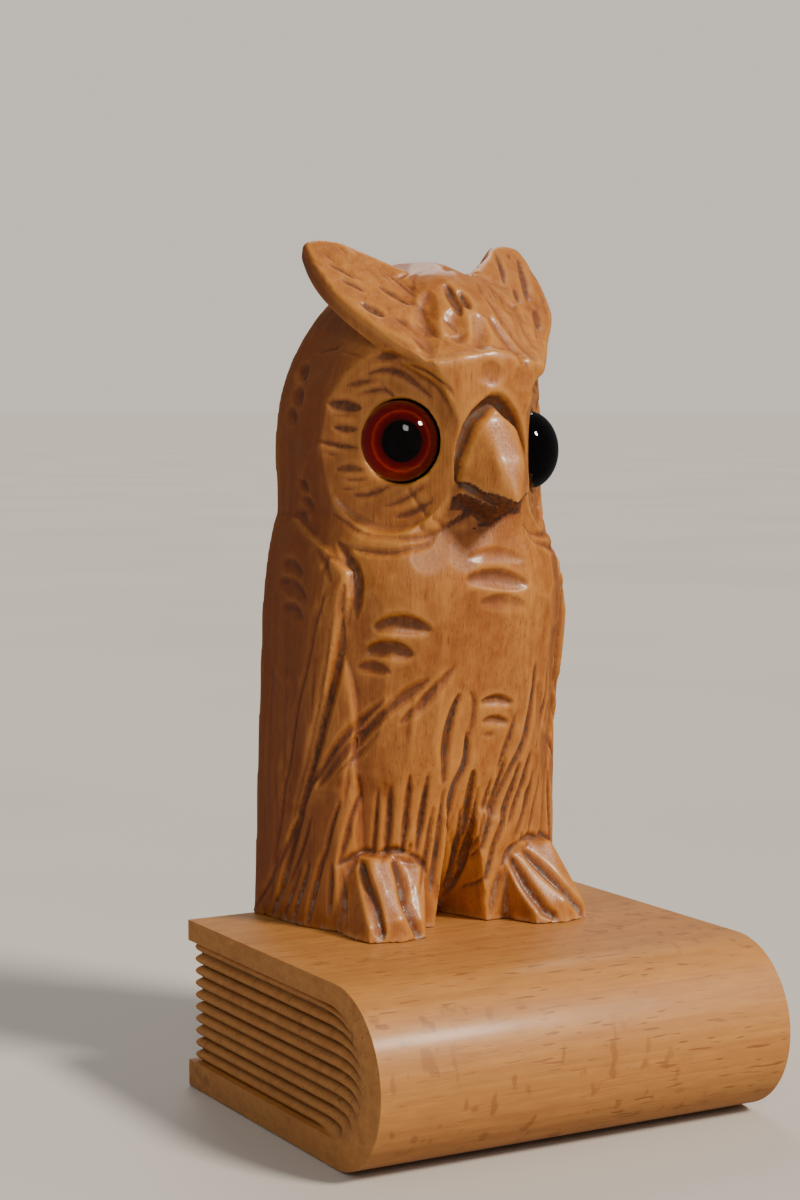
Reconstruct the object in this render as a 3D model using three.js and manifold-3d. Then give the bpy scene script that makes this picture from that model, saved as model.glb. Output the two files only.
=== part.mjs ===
// A carved wooden owl with glass eyes, standing on a block of wood that is cut as a closed book.
// Millimetres, +Z up, and the owl faces -Y. The origin is under the middle of the book.
// The owl's back is sawn flat, flush with the book's fore-edge side.

import * as THREE from "three";
import { mergeVertices } from "three/addons/utils/BufferGeometryUtils.js";
import { ConvexGeometry } from "three/addons/geometries/ConvexGeometry.js";
import Module from "manifold-3d";

const wasm = await Module();
wasm.setup();

// The book
const BOOK_WIDTH = 80;
const BOOK_DEPTH = 71.5;
const BOOK_HEIGHT = 30.2;
const TOP_COVER = 3.7;
const BOTTOM_COVER = 4.7;
const COVER_ROUND = 0.9;
const SPINE_WALL = 5;
const PAGE_RECESS = 1;
const PAGE_RIBS = 10;
const RIB_DEPTH = 1.1;
const RIB_OVERLAP = 0.04;

// The owl, whose carving is drawn on a plan of its first size and stretched to these
const OWL_WIDTH = 56.8;
const OWL_DEPTH = 38;
const OWL_HEIGHT = 121;
const PLAN_WIDTH = 56.8;
const PLAN_DEPTH = 38;
const PLAN_HEIGHT = 121;
const OWL_OFF_CENTRE = 1.2;
const TUFT_THICKNESS = 4.6;
const TUFT_ROUND = 1.1;
const TOE_GROOVE = 2.4;
const BODY_RINGS = 34;
const BODY_SIDES = 36;

// The glass eyes
const EYE_DIAMETER = 14;
const EYE_RISE = 5.6;
const EYE_SEAT = 1.5;
const PUPIL_DIAMETER = 6.4;
const PAINT_THICKNESS = 0.5;
const SOCKET_DEPTH = 7.6;
const LEFT_EYE_DROP = 1.8;
const LEFT_EYE_SINK = 1;
const WIRE_DIAMETER = 1;
const WIRE_LOOP = 3.2;
const PUTTY_BORE = 5.6;

// The screws that hold the owl, driven up through the book
const SCREW_DIAMETER = 4;
const SCREW_HEAD = 8;
const SCREW_HEAD_RIM = 0.5;
const SCREW_LENGTH = 35;
const SCREW_BITE = 12.5;
const THREAD_PITCH = 1.8;
const THREAD_CORE = 2.9;
const THREAD_START = 16;
const THREAD_END = 28.5;
const SCREW_SLOT = 1.2;
const SCREW_SLOT_DEPTH = 1;
const SCREW_SPACING = 24;
const SCREW_FROM_BACK = 15;

// Shared by all the pieces: the gap between parts, how finely curves are divided, how far cutters
// run past what they cut, and a length that is more than any part's
const GAP = 0.3;
const ROUND_SIDES = 28;
const SCREW_SIDES = 20;
const OVAL_SIDES = 32;
const ARC_STEPS = 14;
const DOME_STEPS = 9;
const WING_RINGS = 14;
const OVERCUT = 1;
const REACH = 200;
const WELD = 1e-4;

const WOOD = { color: 0x9a5a2b, roughness: 0.42, metalness: 0 };
const BEECH = { color: 0xb9753f, roughness: 0.5, metalness: 0 };
const GLASS = { color: 0x2a0d08, roughness: 0.04, metalness: 0 };
const IRIS = { color: 0x6d1a0c, roughness: 0.3, metalness: 0 };
const PUPIL = { color: 0x050404, roughness: 0.3, metalness: 0 };
const WIRE = { color: 0x5b5650, roughness: 0.5, metalness: 1 };
const PUTTY = { color: 0x2b2019, roughness: 0.9, metalness: 0 };
const STEEL = { color: 0x8d8a84, roughness: 0.4, metalness: 1 };

// Booleans

function solid(geometry) {
  const bare = geometry.clone();
  bare.deleteAttribute("normal");
  bare.deleteAttribute("uv");
  const merged = mergeVertices(bare, WELD);
  const vertProperties = new Float32Array(merged.getAttribute("position").array);
  const triVerts = new Uint32Array(merged.index.array);
  return new wasm.Manifold(new wasm.Mesh({ numProp: 3, vertProperties, triVerts }));
}

function geometryOf(manifold) {
  const mesh = manifold.getMesh();
  const geometry = new THREE.BufferGeometry();
  geometry.setAttribute("position", new THREE.BufferAttribute(mesh.vertProperties, 3));
  geometry.setIndex(new THREE.BufferAttribute(mesh.triVerts, 1));
  return geometry;
}

// The same shape on the other side of the plane x = 0, with its faces still pointing out.
function mirrored(geometry) {
  const other = geometry.index ? geometry.toNonIndexed() : geometry.clone();
  const position = other.getAttribute("position");
  for (let corner = 0; corner < position.count; corner += 3) {
    const first = new THREE.Vector3().fromBufferAttribute(position, corner);
    const second = new THREE.Vector3().fromBufferAttribute(position, corner + 1);
    const third = new THREE.Vector3().fromBufferAttribute(position, corner + 2);
    position.setXYZ(corner, -first.x, first.y, first.z);
    position.setXYZ(corner + 1, -third.x, third.y, third.z);
    position.setXYZ(corner + 2, -second.x, second.y, second.z);
  }
  return other;
}

function bothSides(geometry) {
  return solid(geometry).add(solid(mirrored(geometry)));
}

// Shapes

// A bar with the given outline in the YZ plane, reaching from x = -length / 2 to +length / 2.
function barAlongX(outline, length, bevel = 0) {
  const geometry = new THREE.ExtrudeGeometry(new THREE.Shape(outline), {
    depth: length - 2 * bevel,
    bevelEnabled: bevel > 0,
    bevelThickness: bevel,
    bevelSize: bevel,
    bevelOffset: -bevel,
    bevelSegments: 2,
    curveSegments: 12,
  });
  geometry.translate(0, 0, bevel - length / 2);
  const axes = new THREE.Matrix4().makeBasis(
    new THREE.Vector3(0, 1, 0),
    new THREE.Vector3(0, 0, 1),
    new THREE.Vector3(1, 0, 0),
  );
  return geometry.applyMatrix4(axes);
}

// A turned shape: the profile holds (radius, height) points and starts and ends on the axis.
function turned(profile, sides = ROUND_SIDES) {
  const points = profile.map(([radius, height]) => new THREE.Vector2(radius, height));
  return new THREE.LatheGeometry(points, sides).rotateX(Math.PI / 2);
}

function drilled(diameter, bottom, top) {
  const cylinder = new THREE.CylinderGeometry(diameter / 2, diameter / 2, top - bottom, ROUND_SIDES);
  return cylinder.rotateX(Math.PI / 2).translate(0, 0, (top + bottom) / 2);
}

// A box that spans from one corner to the other.
function block(low, high) {
  const size = new THREE.Vector3().subVectors(high, low);
  const middle = new THREE.Vector3().addVectors(low, high).multiplyScalar(0.5);
  return new THREE.BoxGeometry(size.x, size.y, size.z).translate(middle.x, middle.y, middle.z);
}

// The book

const BACK = BOOK_DEPTH / 2;
const SPINE_RADIUS = BOOK_HEIGHT / 2;
const SPINE_CENTRE = SPINE_RADIUS - BACK;

// The outline of the book's end, as (y, z), inset by a wall at the spine, top and bottom.
function bookOutline(spineWall, bottomWall, topWall, back) {
  const low = bottomWall;
  const high = BOOK_HEIGHT - topWall;
  const radius = (high - low) / 2;
  const centre = SPINE_CENTRE - SPINE_RADIUS + spineWall + radius;
  const outline = [new THREE.Vector2(back, low), new THREE.Vector2(back, high)];
  for (let step = 0; step <= ARC_STEPS; step += 1) {
    const angle = (Math.PI * step) / ARC_STEPS;
    const y = centre - radius * Math.sin(angle);
    const z = low + radius + radius * Math.cos(angle);
    outline.push(new THREE.Vector2(y, z));
  }
  return outline.reverse();
}

// One layer of the page block, with both of its edges sloped so that layers meet in grooves.
function pageLayer(low, high) {
  const halfWidth = BOOK_WIDTH / 2 - PAGE_RECESS;
  const back = BACK - PAGE_RECESS;
  const front = SPINE_CENTRE - SPINE_RADIUS + SPINE_WALL / 2;
  const bevel = (high - low) / 2 - RIB_OVERLAP;
  const plan = new THREE.Shape([
    new THREE.Vector2(-halfWidth, front),
    new THREE.Vector2(halfWidth, front),
    new THREE.Vector2(halfWidth, back),
    new THREE.Vector2(-halfWidth, back),
  ]);
  const layer = new THREE.ExtrudeGeometry(plan, {
    depth: high - low - 2 * bevel,
    bevelThickness: bevel,
    bevelSize: RIB_DEPTH,
    bevelOffset: -RIB_DEPTH,
    bevelSegments: 1,
  });
  return layer.translate(0, 0, low + bevel);
}

function screwPlaces() {
  const y = BACK - SCREW_FROM_BACK;
  return [-1, 1].map((side) => new THREE.Vector2(OWL_OFF_CENTRE + (side * SCREW_SPACING) / 2, y));
}

// How far the screw heads are sunk into the book's underside.
const COUNTERBORE = BOOK_HEIGHT + SCREW_BITE - SCREW_LENGTH;

function bookPlinth() {
  const board = solid(barAlongX(bookOutline(0, 0, 0, BACK), BOOK_WIDTH, COVER_ROUND));
  const opening = bookOutline(SPINE_WALL, BOTTOM_COVER, TOP_COVER, BACK + REACH);
  let book = board.subtract(solid(barAlongX(opening, REACH)));
  const pitch = (BOOK_HEIGHT - TOP_COVER - BOTTOM_COVER) / PAGE_RIBS;
  for (let rib = 0; rib < PAGE_RIBS; rib += 1) {
    const low = BOTTOM_COVER + rib * pitch;
    const layer = solid(pageLayer(low - RIB_OVERLAP, low + pitch + RIB_OVERLAP));
    book = book.add(layer.intersect(board));
  }
  for (const place of screwPlaces()) {
    const sink = drilled(SCREW_HEAD + 2 * GAP, -OVERCUT, COUNTERBORE).translate(place.x, place.y, 0);
    const bore = drilled(SCREW_DIAMETER + 2 * GAP, -OVERCUT, BOOK_HEIGHT + OVERCUT);
    book = book.subtract(solid(sink));
    book = book.subtract(solid(countersink().translate(place.x, place.y, COUNTERBORE)));
    book = book.subtract(solid(bore.translate(place.x, place.y, 0)));
  }
  return geometryOf(book);
}

// The screws

const HEAD_CONE = (SCREW_HEAD - SCREW_DIAMETER) / 2;

function countersink() {
  const wide = SCREW_HEAD / 2 + GAP;
  const narrow = SCREW_DIAMETER / 2 + GAP;
  const top = SCREW_HEAD_RIM + HEAD_CONE;
  return turned([[0, -GAP], [wide, -GAP], [wide, SCREW_HEAD_RIM], [narrow, top], [0, top]]);
}

// A slotted countersunk wood screw, standing on its head, with a ring-cut thread.
function woodScrew() {
  const core = THREAD_CORE / 2;
  const crest = SCREW_DIAMETER / 2;
  const profile = [[0, 0], [SCREW_HEAD / 2, 0], [SCREW_HEAD / 2, SCREW_HEAD_RIM]];
  profile.push([crest, HEAD_CONE + SCREW_HEAD_RIM]);
  profile.push([crest, THREAD_START]);
  for (let z = THREAD_START; z < THREAD_END; z += THREAD_PITCH) {
    profile.push([core, z + THREAD_PITCH * 0.3]);
    profile.push([core, z + THREAD_PITCH * 0.7]);
    profile.push([crest, z + THREAD_PITCH]);
  }
  profile.push([core, THREAD_END + THREAD_PITCH]);
  profile.push([0, SCREW_LENGTH]);
  const slot = new THREE.BoxGeometry(SCREW_HEAD * 2, SCREW_SLOT, SCREW_SLOT_DEPTH * 2);
  return geometryOf(solid(turned(profile, SCREW_SIDES)).subtract(solid(slot)));
}

// The owl

const stretch = new THREE.Vector3(
  OWL_WIDTH / PLAN_WIDTH,
  OWL_DEPTH / PLAN_DEPTH,
  OWL_HEIGHT / PLAN_HEIGHT,
);

// A point of the plan: x to the owl's left, y from the sawn back (negative to the front), z up.
function at(x, y, z) {
  return new THREE.Vector3(x, y, z).multiply(stretch);
}

// Each section of the body is [height, half width, depth, back inset, squareness].
const BODY_SECTIONS = [
  [0, 21.4, 27.5, 0, 3.8],
  [12, 21.8, 29, 0, 3.7],
  [26, 22.6, 31.6, 0, 3.4],
  [40, 23.8, 34.2, 0, 3],
  [50, 24.4, 36, 0, 2.8],
  [58, 25, 37.4, 0, 2.7],
  [65, 24.6, 37, 0, 2.6],
  [71, 23.4, 35.4, 0, 2.5],
  [77, 23.4, 36.6, 0, 2.7],
  [85, 23.8, 37.6, 0, 3],
  [93, 22.8, 37.4, 0, 2.9],
  [100, 20.4, 36.8, 0, 2.6],
  [106, 17.2, 33.4, 0.8, 2.3],
  [111, 13.4, 28.6, 2.6, 2.2],
  [115, 9, 23.8, 5.6, 2.1],
  [117.6, 3.6, 17, 9.6, 2],
];

// The folded wings are a fuller body of which only the sides are kept.
const WING_SECTIONS = [
  [0, 28.4, 26, 0, 2],
  [20, 27.8, 31, 0, 2.5],
  [39, 27.1, 36, 0, 2.8],
  [57, 26.4, 39.2, 0, 2.75],
  [64, 25.6, 38.2, 0, 2.65],
  [72, 23.8, 36, 0, 2.5],
];

function smoothTable(rows) {
  const sizes = rows.map((row) => new THREE.Vector3(row[0], row[1], row[2]));
  const shapes = rows.map((row) => new THREE.Vector3(row[0], row[3], row[4]));
  const sizeCurve = new THREE.CatmullRomCurve3(sizes, false, "centripetal");
  const shapeCurve = new THREE.CatmullRomCurve3(shapes, false, "centripetal");
  return (share) => {
    const size = sizeCurve.getPoint(share);
    const shape = shapeCurve.getPoint(share);
    return { height: size.x, halfWidth: size.y, depth: size.z, inset: shape.y, power: shape.z };
  };
}

// A solid through D-shaped sections: round in front, and straight across the back.
function loft(rows, rings, sides) {
  const section = smoothTable(rows);
  const geometry = new THREE.CylinderGeometry(1, 1, 1, sides, rings).rotateX(Math.PI / 2);
  const position = geometry.getAttribute("position");
  for (let i = 0; i < position.count; i += 1) {
    const share = position.getZ(i) + 0.5;
    const radius = Math.hypot(position.getX(i), position.getY(i));
    const turn = (Math.atan2(position.getY(i), position.getX(i)) / (2 * Math.PI) + 1) % 1;
    const { height, halfWidth, depth, inset, power } = section(share);
    const step = Math.round(turn * sides) % sides;
    const angle = (Math.PI * step) / (sides - 1);
    const across = -Math.cos(angle);
    const forward = Math.sin(angle);
    const x = Math.sign(across) * Math.abs(across) ** (2 / power) * halfWidth;
    const y = -inset - Math.max(forward, 0) ** (2 / power) * (depth - inset);
    const centre = -inset - (depth - inset) / 2;
    const place = radius > 0.5 ? at(x, y, height) : at(0, centre, height);
    position.setXYZ(i, place.x, place.y, place.z);
  }
  return geometry;
}

function wings() {
  const fuller = solid(loft(WING_SECTIONS, WING_RINGS, BODY_SIDES));
  const side = [
    [8, 0], [-3, 0], [-15.2, 23], [-21.4, 43], [-25.4, 59], [-24.6, 63.5], [-19, 67], [-8, 71.5], [8, 73],
  ];
  const outline = side.map(([y, z]) => {
    const corner = at(0, y, z);
    return new THREE.Vector2(corner.y, corner.z);
  });
  return fuller.intersect(solid(barAlongX(outline, REACH)));
}

// The face disc's plane, on the owl's right: it runs from the side of the head in to the beak.
const DISC_OUTER = at(-23, -16.4, 86);
const DISC_INNER = at(-6.4, -37.6, 86);
const DISC_HALF_HEIGHT = at(0, 0, 15.4).z;
const EYE_ALONG_DISC = 0.57;
const DISC_FLARE = 2;

const discAcross = new THREE.Vector3().subVectors(DISC_INNER, DISC_OUTER).normalize();
const discNormal = new THREE.Vector3(discAcross.y, -discAcross.x, 0);

// Moves a shape made around the Z axis so that Z points out of the owl's right face disc.
function onDisc(geometry, share, drop = 0) {
  const place = new THREE.Vector3().lerpVectors(DISC_OUTER, DISC_INNER, share);
  place.z -= drop;
  const up = new THREE.Vector3(0, 0, 1);
  const frame = new THREE.Matrix4().makeBasis(discAcross, up, discNormal);
  return geometry.applyMatrix4(frame.setPosition(place));
}

function discCutter() {
  const halfWidth = DISC_INNER.distanceTo(DISC_OUTER) / 2;
  const oval = new THREE.CylinderGeometry(DISC_FLARE, 1, OWL_DEPTH, OVAL_SIDES).rotateX(Math.PI / 2);
  oval.scale(halfWidth, DISC_HALF_HEIGHT, 1).translate(0, 0, OWL_DEPTH / 2);
  return onDisc(oval, 0.5);
}

// A brow that sweeps up and out into an ear tuft: a thick leaf lying on the slope of the forehead.
function browTuft() {
  const inner = at(-11, -37, 99.3);
  const along = new THREE.Vector3().subVectors(at(-22, -8.5, 120.3), inner).normalize();
  const slope = new THREE.Vector3().subVectors(at(-6.3, -26.3, 112.3), at(-18.6, -28.7, 106.9));
  const out = new THREE.Vector3().crossVectors(slope, along).normalize();
  const across = new THREE.Vector3().crossVectors(along, out);
  const scale = stretch.z;
  const leaf = new THREE.Shape();
  leaf.moveTo(-1 * scale, 0);
  leaf.quadraticCurveTo(12 * scale, -4 * scale, 22 * scale, -3.6 * scale);
  leaf.quadraticCurveTo(33 * scale, -3 * scale, 38.6 * scale, 0.2 * scale);
  leaf.quadraticCurveTo(39.2 * scale, 3.2 * scale, 35 * scale, 7 * scale);
  leaf.quadraticCurveTo(25 * scale, 11.2 * scale, 19 * scale, 13.6 * scale);
  leaf.quadraticCurveTo(13 * scale, 17 * scale, 11 * scale, 26 * scale);
  leaf.lineTo(-3 * scale, 26 * scale);
  const slab = new THREE.ExtrudeGeometry(leaf, {
    depth: TUFT_THICKNESS - 2 * TUFT_ROUND,
    bevelThickness: TUFT_ROUND,
    bevelSize: TUFT_ROUND,
    bevelOffset: -TUFT_ROUND,
    bevelSegments: 2,
    curveSegments: 7,
  });
  slab.translate(0, 0, TUFT_ROUND);
  const inward = out.clone().negate();
  slab.applyMatrix4(new THREE.Matrix4().makeBasis(along, across, inward).setPosition(inner));
  const rightSide = block(new THREE.Vector3(-REACH, -REACH, -REACH), new THREE.Vector3(0, 0, REACH));
  return geometryOf(solid(slab).intersect(solid(rightSide)));
}

// A four-sided hooked beak, with a ridge down its front and a flat facet underneath.
function beak() {
  const points = [at(0, -37, 93), at(0, -45.6, 75.4), at(0, -35, 71.6), at(0, -30, 90)];
  for (const side of [-1, 1]) {
    points.push(at(side * 3.4, -38.2, 90));
    points.push(at(side * 6.6, -38, 82));
    points.push(at(side * 7.2, -37.6, 77.2));
    points.push(at(side * 3.6, -42.6, 77.6));
    points.push(at(side * 2.4, -43.2, 83));
    points.push(at(side * 5.4, -34, 74.6));
  }
  return new ConvexGeometry(points);
}

function foot() {
  const points = [
    at(-8, -24, 12.4), at(-8.4, -28, 12), at(-18.4, -27.6, 13.6), at(-19.4, -22, 13.4),
    at(-9.4, -14, 0), at(-9.8, -30, 0), at(-11.6, -34.4, 0), at(-16.8, -35.6, 0),
    at(-22.2, -33.8, 0), at(-23.2, -28, 0), at(-21.2, -14, 0),
    at(-11.8, -34.2, 3), at(-16.8, -35, 4), at(-22, -33.4, 3),
  ];
  return new ConvexGeometry(points);
}

// The V cut between two toes, from the instep down to the book.
function toeCut(topX, bottomX) {
  const half = TOE_GROOVE / 2;
  const points = [
    at(topX - half, -31, 17), at(topX + half, -31, 17), at(topX, -26.6, 15),
    at(bottomX - half, -41, -2), at(bottomX + half, -41, -2), at(bottomX, -32.4, -2),
  ];
  return new ConvexGeometry(points);
}

// The hollow between the legs, deepest at the book.
function legCut() {
  const points = [at(-3, -35, 43), at(-1, -8, -1), at(-9, -40, -1), at(9, -40, -1), at(-3, -42, 43)];
  return new ConvexGeometry(points);
}

function owlBody() {
  let body = solid(loft(BODY_SECTIONS, BODY_RINGS, BODY_SIDES));
  body = body.add(wings());
  body = body.subtract(solid(legCut()));
  body = body.add(bothSides(foot()));
  body = body.subtract(bothSides(toeCut(-11.4, -14.2)));
  body = body.subtract(bothSides(toeCut(-15.4, -19)));
  body = body.subtract(bothSides(discCutter()));
  body = body.add(bothSides(browTuft()));
  body = body.add(solid(beak()));
  body = body.subtract(solid(rightEye(socket())));
  body = body.subtract(solid(leftEye(socket())));
  for (const place of screwPlaces()) {
    const hole = drilled(SCREW_DIAMETER + 2 * GAP, -OVERCUT, SCREW_BITE + OVERCUT);
    body = body.subtract(solid(hole.translate(place.x - OWL_OFF_CENTRE, place.y - BACK, 0)));
  }
  return geometryOf(body);
}

// The eyes: each is made around Z with its front up, then set on its face disc. The carver has
// set the left eye a little lower and deeper than the right one.

function rightEye(geometry) {
  return onDisc(geometry, EYE_ALONG_DISC);
}

function leftEye(geometry) {
  return mirrored(onDisc(geometry.translate(0, 0, -LEFT_EYE_SINK), EYE_ALONG_DISC, LEFT_EYE_DROP));
}

function socket() {
  return drilled(EYE_DIAMETER + 2 * GAP, -SOCKET_DEPTH, EYE_DIAMETER);
}

function eyeGlass() {
  const radius = EYE_DIAMETER / 2;
  const profile = [[0, -EYE_SEAT], [radius, -EYE_SEAT]];
  for (let step = 0; step < DOME_STEPS; step += 1) {
    const angle = (Math.PI / 2) * (step / DOME_STEPS);
    profile.push([radius * Math.cos(angle), EYE_RISE * Math.sin(angle)]);
  }
  profile.push([0, EYE_RISE]);
  return turned(profile);
}

const PAINT_TOP = -EYE_SEAT - GAP;
const PAINT_BOTTOM = PAINT_TOP - PAINT_THICKNESS;

function eyeIris() {
  const disc = solid(drilled(EYE_DIAMETER - 2 * GAP, PAINT_BOTTOM, PAINT_TOP));
  const opening = drilled(PUPIL_DIAMETER + 2 * GAP, PAINT_BOTTOM - OVERCUT, PAINT_TOP + OVERCUT);
  return geometryOf(disc.subtract(solid(opening)));
}

function eyePupil() {
  return drilled(PUPIL_DIAMETER, PAINT_BOTTOM, PAINT_TOP);
}

function eyeWire() {
  const top = PAINT_BOTTOM - GAP;
  const loopCentre = -SOCKET_DEPTH + GAP + (WIRE_LOOP + WIRE_DIAMETER) / 2;
  const loop = new THREE.TorusGeometry(WIRE_LOOP / 2, WIRE_DIAMETER / 2, 8, 16);
  loop.rotateX(Math.PI / 2).translate(0, 0, loopCentre);
  return geometryOf(solid(loop).add(solid(drilled(WIRE_DIAMETER, loopCentre + WIRE_LOOP / 2, top))));
}

function eyePutty() {
  const bottom = -SOCKET_DEPTH + GAP;
  const top = PAINT_BOTTOM - GAP;
  const bed = solid(drilled(EYE_DIAMETER, bottom, top));
  return geometryOf(bed.subtract(solid(drilled(PUTTY_BORE, bottom - OVERCUT, top + OVERCUT))));
}

// The scene graph

function named(name, geometry, finish) {
  const mesh = new THREE.Mesh(geometry, new THREE.MeshStandardMaterial(finish));
  mesh.name = name;
  return mesh;
}

const object = new THREE.Group();
object.add(named("book_plinth", bookPlinth(), BEECH));

const owl = new THREE.Group();
owl.position.set(OWL_OFF_CENTRE, BACK, BOOK_HEIGHT);
owl.add(named("owl_body", owlBody(), WOOD));

const eyePieces = [
  ["glass", eyeGlass, GLASS],
  ["iris", eyeIris, IRIS],
  ["pupil", eyePupil, PUPIL],
  ["wire", eyeWire, WIRE],
  ["putty", eyePutty, PUTTY],
];
for (const [piece, make, finish] of eyePieces) {
  owl.add(named(`eye_${piece}_right`, rightEye(make()), finish));
  owl.add(named(`eye_${piece}_left`, leftEye(make()), finish));
}
object.add(owl);

screwPlaces().forEach((place, index) => {
  const screw = named(`owl_screw_${index + 1}`, woodScrew(), STEEL);
  screw.position.set(place.x, place.y, COUNTERBORE);
  object.add(screw);
});

export default object;
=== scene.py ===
"""Looks for a carved wooden owl with glass eyes on a base cut as a closed book, laid out as an add-on."""

import math

import bmesh
import bpy
import numpy as np
from mathutils import Matrix, Vector
from mathutils.bvhtree import BVHTree


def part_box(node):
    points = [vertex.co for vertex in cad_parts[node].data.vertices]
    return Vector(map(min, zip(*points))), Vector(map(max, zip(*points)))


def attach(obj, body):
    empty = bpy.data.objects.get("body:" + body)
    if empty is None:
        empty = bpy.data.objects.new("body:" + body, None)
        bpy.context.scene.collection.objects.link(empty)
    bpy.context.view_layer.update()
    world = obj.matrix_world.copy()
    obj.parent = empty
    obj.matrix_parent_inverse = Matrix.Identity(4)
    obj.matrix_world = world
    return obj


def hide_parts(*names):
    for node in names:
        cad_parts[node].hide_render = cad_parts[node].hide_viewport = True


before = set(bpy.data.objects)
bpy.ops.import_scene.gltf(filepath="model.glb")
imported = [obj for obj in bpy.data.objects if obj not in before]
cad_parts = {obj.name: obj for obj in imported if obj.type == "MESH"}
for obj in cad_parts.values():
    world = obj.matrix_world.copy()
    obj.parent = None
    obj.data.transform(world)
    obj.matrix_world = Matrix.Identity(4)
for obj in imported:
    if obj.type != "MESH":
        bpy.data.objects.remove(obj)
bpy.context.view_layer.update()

bl_info = {
    "name": "Carved Owl on a Book",
    "version": (1, 0, 0),
    "blender": (4, 5, 0),
    "location": "View3D > Sidebar > Owl",
    "description": "Models a carved wooden owl with glass eyes, and the book-shaped base it stands on",
    "category": "Object",
}

MM = 0.001
CAD_WELD = 0.002 * MM

# Seeds of the carver's irregularities
FACET_SEED = 5
RIGHT_TUFT_SEED = 11
LEFT_TUFT_SEED = 12

# The stage, in metres and degrees
FLOOR_SIZE = 60
FLOOR_DROP = 0.0002
CAMERA_PLACE = (-0.22024, -0.36123, 0.12264)
CAMERA_TURN = 29.43
CAMERA_DIP = 4.584
CAMERA_LENS = 73.5
CAMERA_SENSOR = 36

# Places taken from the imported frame, in metres
OWL_LOW, OWL_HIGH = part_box("owl_body")
BOOK_LOW, BOOK_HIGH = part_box("book_plinth")
BACK_Y = OWL_HIGH.y
OWL_X = (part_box("eye_iris_right")[0].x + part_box("eye_iris_left")[1].x) / 2
OWL_FOOT = Vector((OWL_X, BACK_Y, OWL_LOW.z))


# ---------------------------------------------------------------------------------------------
# Sizes and colours that a user would change
# ---------------------------------------------------------------------------------------------


class OwlWoodSettings(bpy.types.PropertyGroup):
    voxel: bpy.props.FloatProperty(
        name="Surface step", description="Edge length of the owl's surface before it is thinned",
        default=0.4 * MM, min=0.2 * MM, max=2 * MM, subtype="DISTANCE", unit="LENGTH",
    )
    soften: bpy.props.IntProperty(
        name="Sanding", description="Rounds of sanding that round over the carved edges",
        default=5, min=0, max=40,
    )
    fair: bpy.props.IntProperty(
        name="Fairing", description="Rounds that make the broad surfaces flow, away from the edges",
        default=36, min=0, max=300,
    )
    cut_depth: bpy.props.FloatProperty(
        name="Cut depth", description="Depth of every gouge mark, as a share of the drawn depth",
        default=1.0, min=0.0, max=3.0, subtype="FACTOR",
    )
    triangles: bpy.props.IntProperty(
        name="Triangles", description="Most triangles that the carved owl keeps",
        default=190000, min=20000, max=199000,
    )
    # Light wood is also laid on the crests, partly as polish wear and partly as a painted highlight
    light: bpy.props.FloatVectorProperty(
        name="Light wood", description="Colour of the wood where it is polished most",
        subtype="COLOR", size=3, default=(0.62, 0.262, 0.050), min=0, max=1,
    )
    body: bpy.props.FloatVectorProperty(
        name="Wood", description="Colour of most of the owl's wood",
        subtype="COLOR", size=3, default=(0.36, 0.112, 0.017), min=0, max=1,
    )
    # Dark wood is also the painted shade in the hollows and the mouth, and the sides' colour, which is
    # partly stain and partly painted shade
    dark: bpy.props.FloatVectorProperty(
        name="Dark wood", description="Colour of the streaks, the hollows, the wings' sides and the mouth",
        subtype="COLOR", size=3, default=(0.15, 0.030, 0.005), min=0, max=1,
    )
    dirt: bpy.props.FloatVectorProperty(
        name="Old wax", description="Colour of the wax and dirt in the bottom of the cuts",
        subtype="COLOR", size=3, default=(0.045, 0.018, 0.008), min=0, max=1,
    )
    dust: bpy.props.FloatVectorProperty(
        name="Dust", description="Colour of the pale dust around the feet and in deep cuts",
        subtype="COLOR", size=3, default=(0.46, 0.36, 0.27), min=0, max=1,
    )


class BookSettings(bpy.types.PropertyGroup):
    top_cover: bpy.props.FloatProperty(
        name="Top cover", description="Thickness of the upper cover",
        default=3.7 * MM, min=1 * MM, max=8 * MM, subtype="DISTANCE", unit="LENGTH",
    )
    bottom_cover: bpy.props.FloatProperty(
        name="Bottom cover", description="Thickness of the lower cover",
        default=4.7 * MM, min=1 * MM, max=8 * MM, subtype="DISTANCE", unit="LENGTH",
    )
    spine_wall: bpy.props.FloatProperty(
        name="Spine wall", description="Width of the smooth rim around the spine's end",
        default=5 * MM, min=1 * MM, max=10 * MM, subtype="DISTANCE", unit="LENGTH",
    )
    ribs: bpy.props.IntProperty(
        name="Page ribs", description="Number of ribs that stand for the pages", default=10, min=3, max=30,
    )
    rib_depth: bpy.props.FloatProperty(
        name="Rib depth", description="Depth of the grooves between the ribs",
        default=1.15 * MM, min=0.1 * MM, max=3 * MM, subtype="DISTANCE", unit="LENGTH",
    )
    recess: bpy.props.FloatProperty(
        name="Page recess", description="How far the ribs lie behind the covers' edges",
        default=0.9 * MM, min=0, max=3 * MM, subtype="DISTANCE", unit="LENGTH",
    )
    edge_round: bpy.props.FloatProperty(
        name="Edge wear", description="Radius of the covers' worn edges",
        default=0.9 * MM, min=0.1 * MM, max=3 * MM, subtype="DISTANCE", unit="LENGTH",
    )
    light: bpy.props.FloatVectorProperty(
        name="Light beech", description="Colour of the beech between its growth lines",
        subtype="COLOR", size=3, default=(0.82, 0.37, 0.085), min=0, max=1,
    )
    dark: bpy.props.FloatVectorProperty(
        name="Dark beech", description="Colour of the growth lines",
        subtype="COLOR", size=3, default=(0.56, 0.20, 0.038), min=0, max=1,
    )
    fleck: bpy.props.FloatVectorProperty(
        name="Ray flecks", description="Colour of the small brown ray flecks",
        subtype="COLOR", size=3, default=(0.24, 0.065, 0.014), min=0, max=1,
    )


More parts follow.
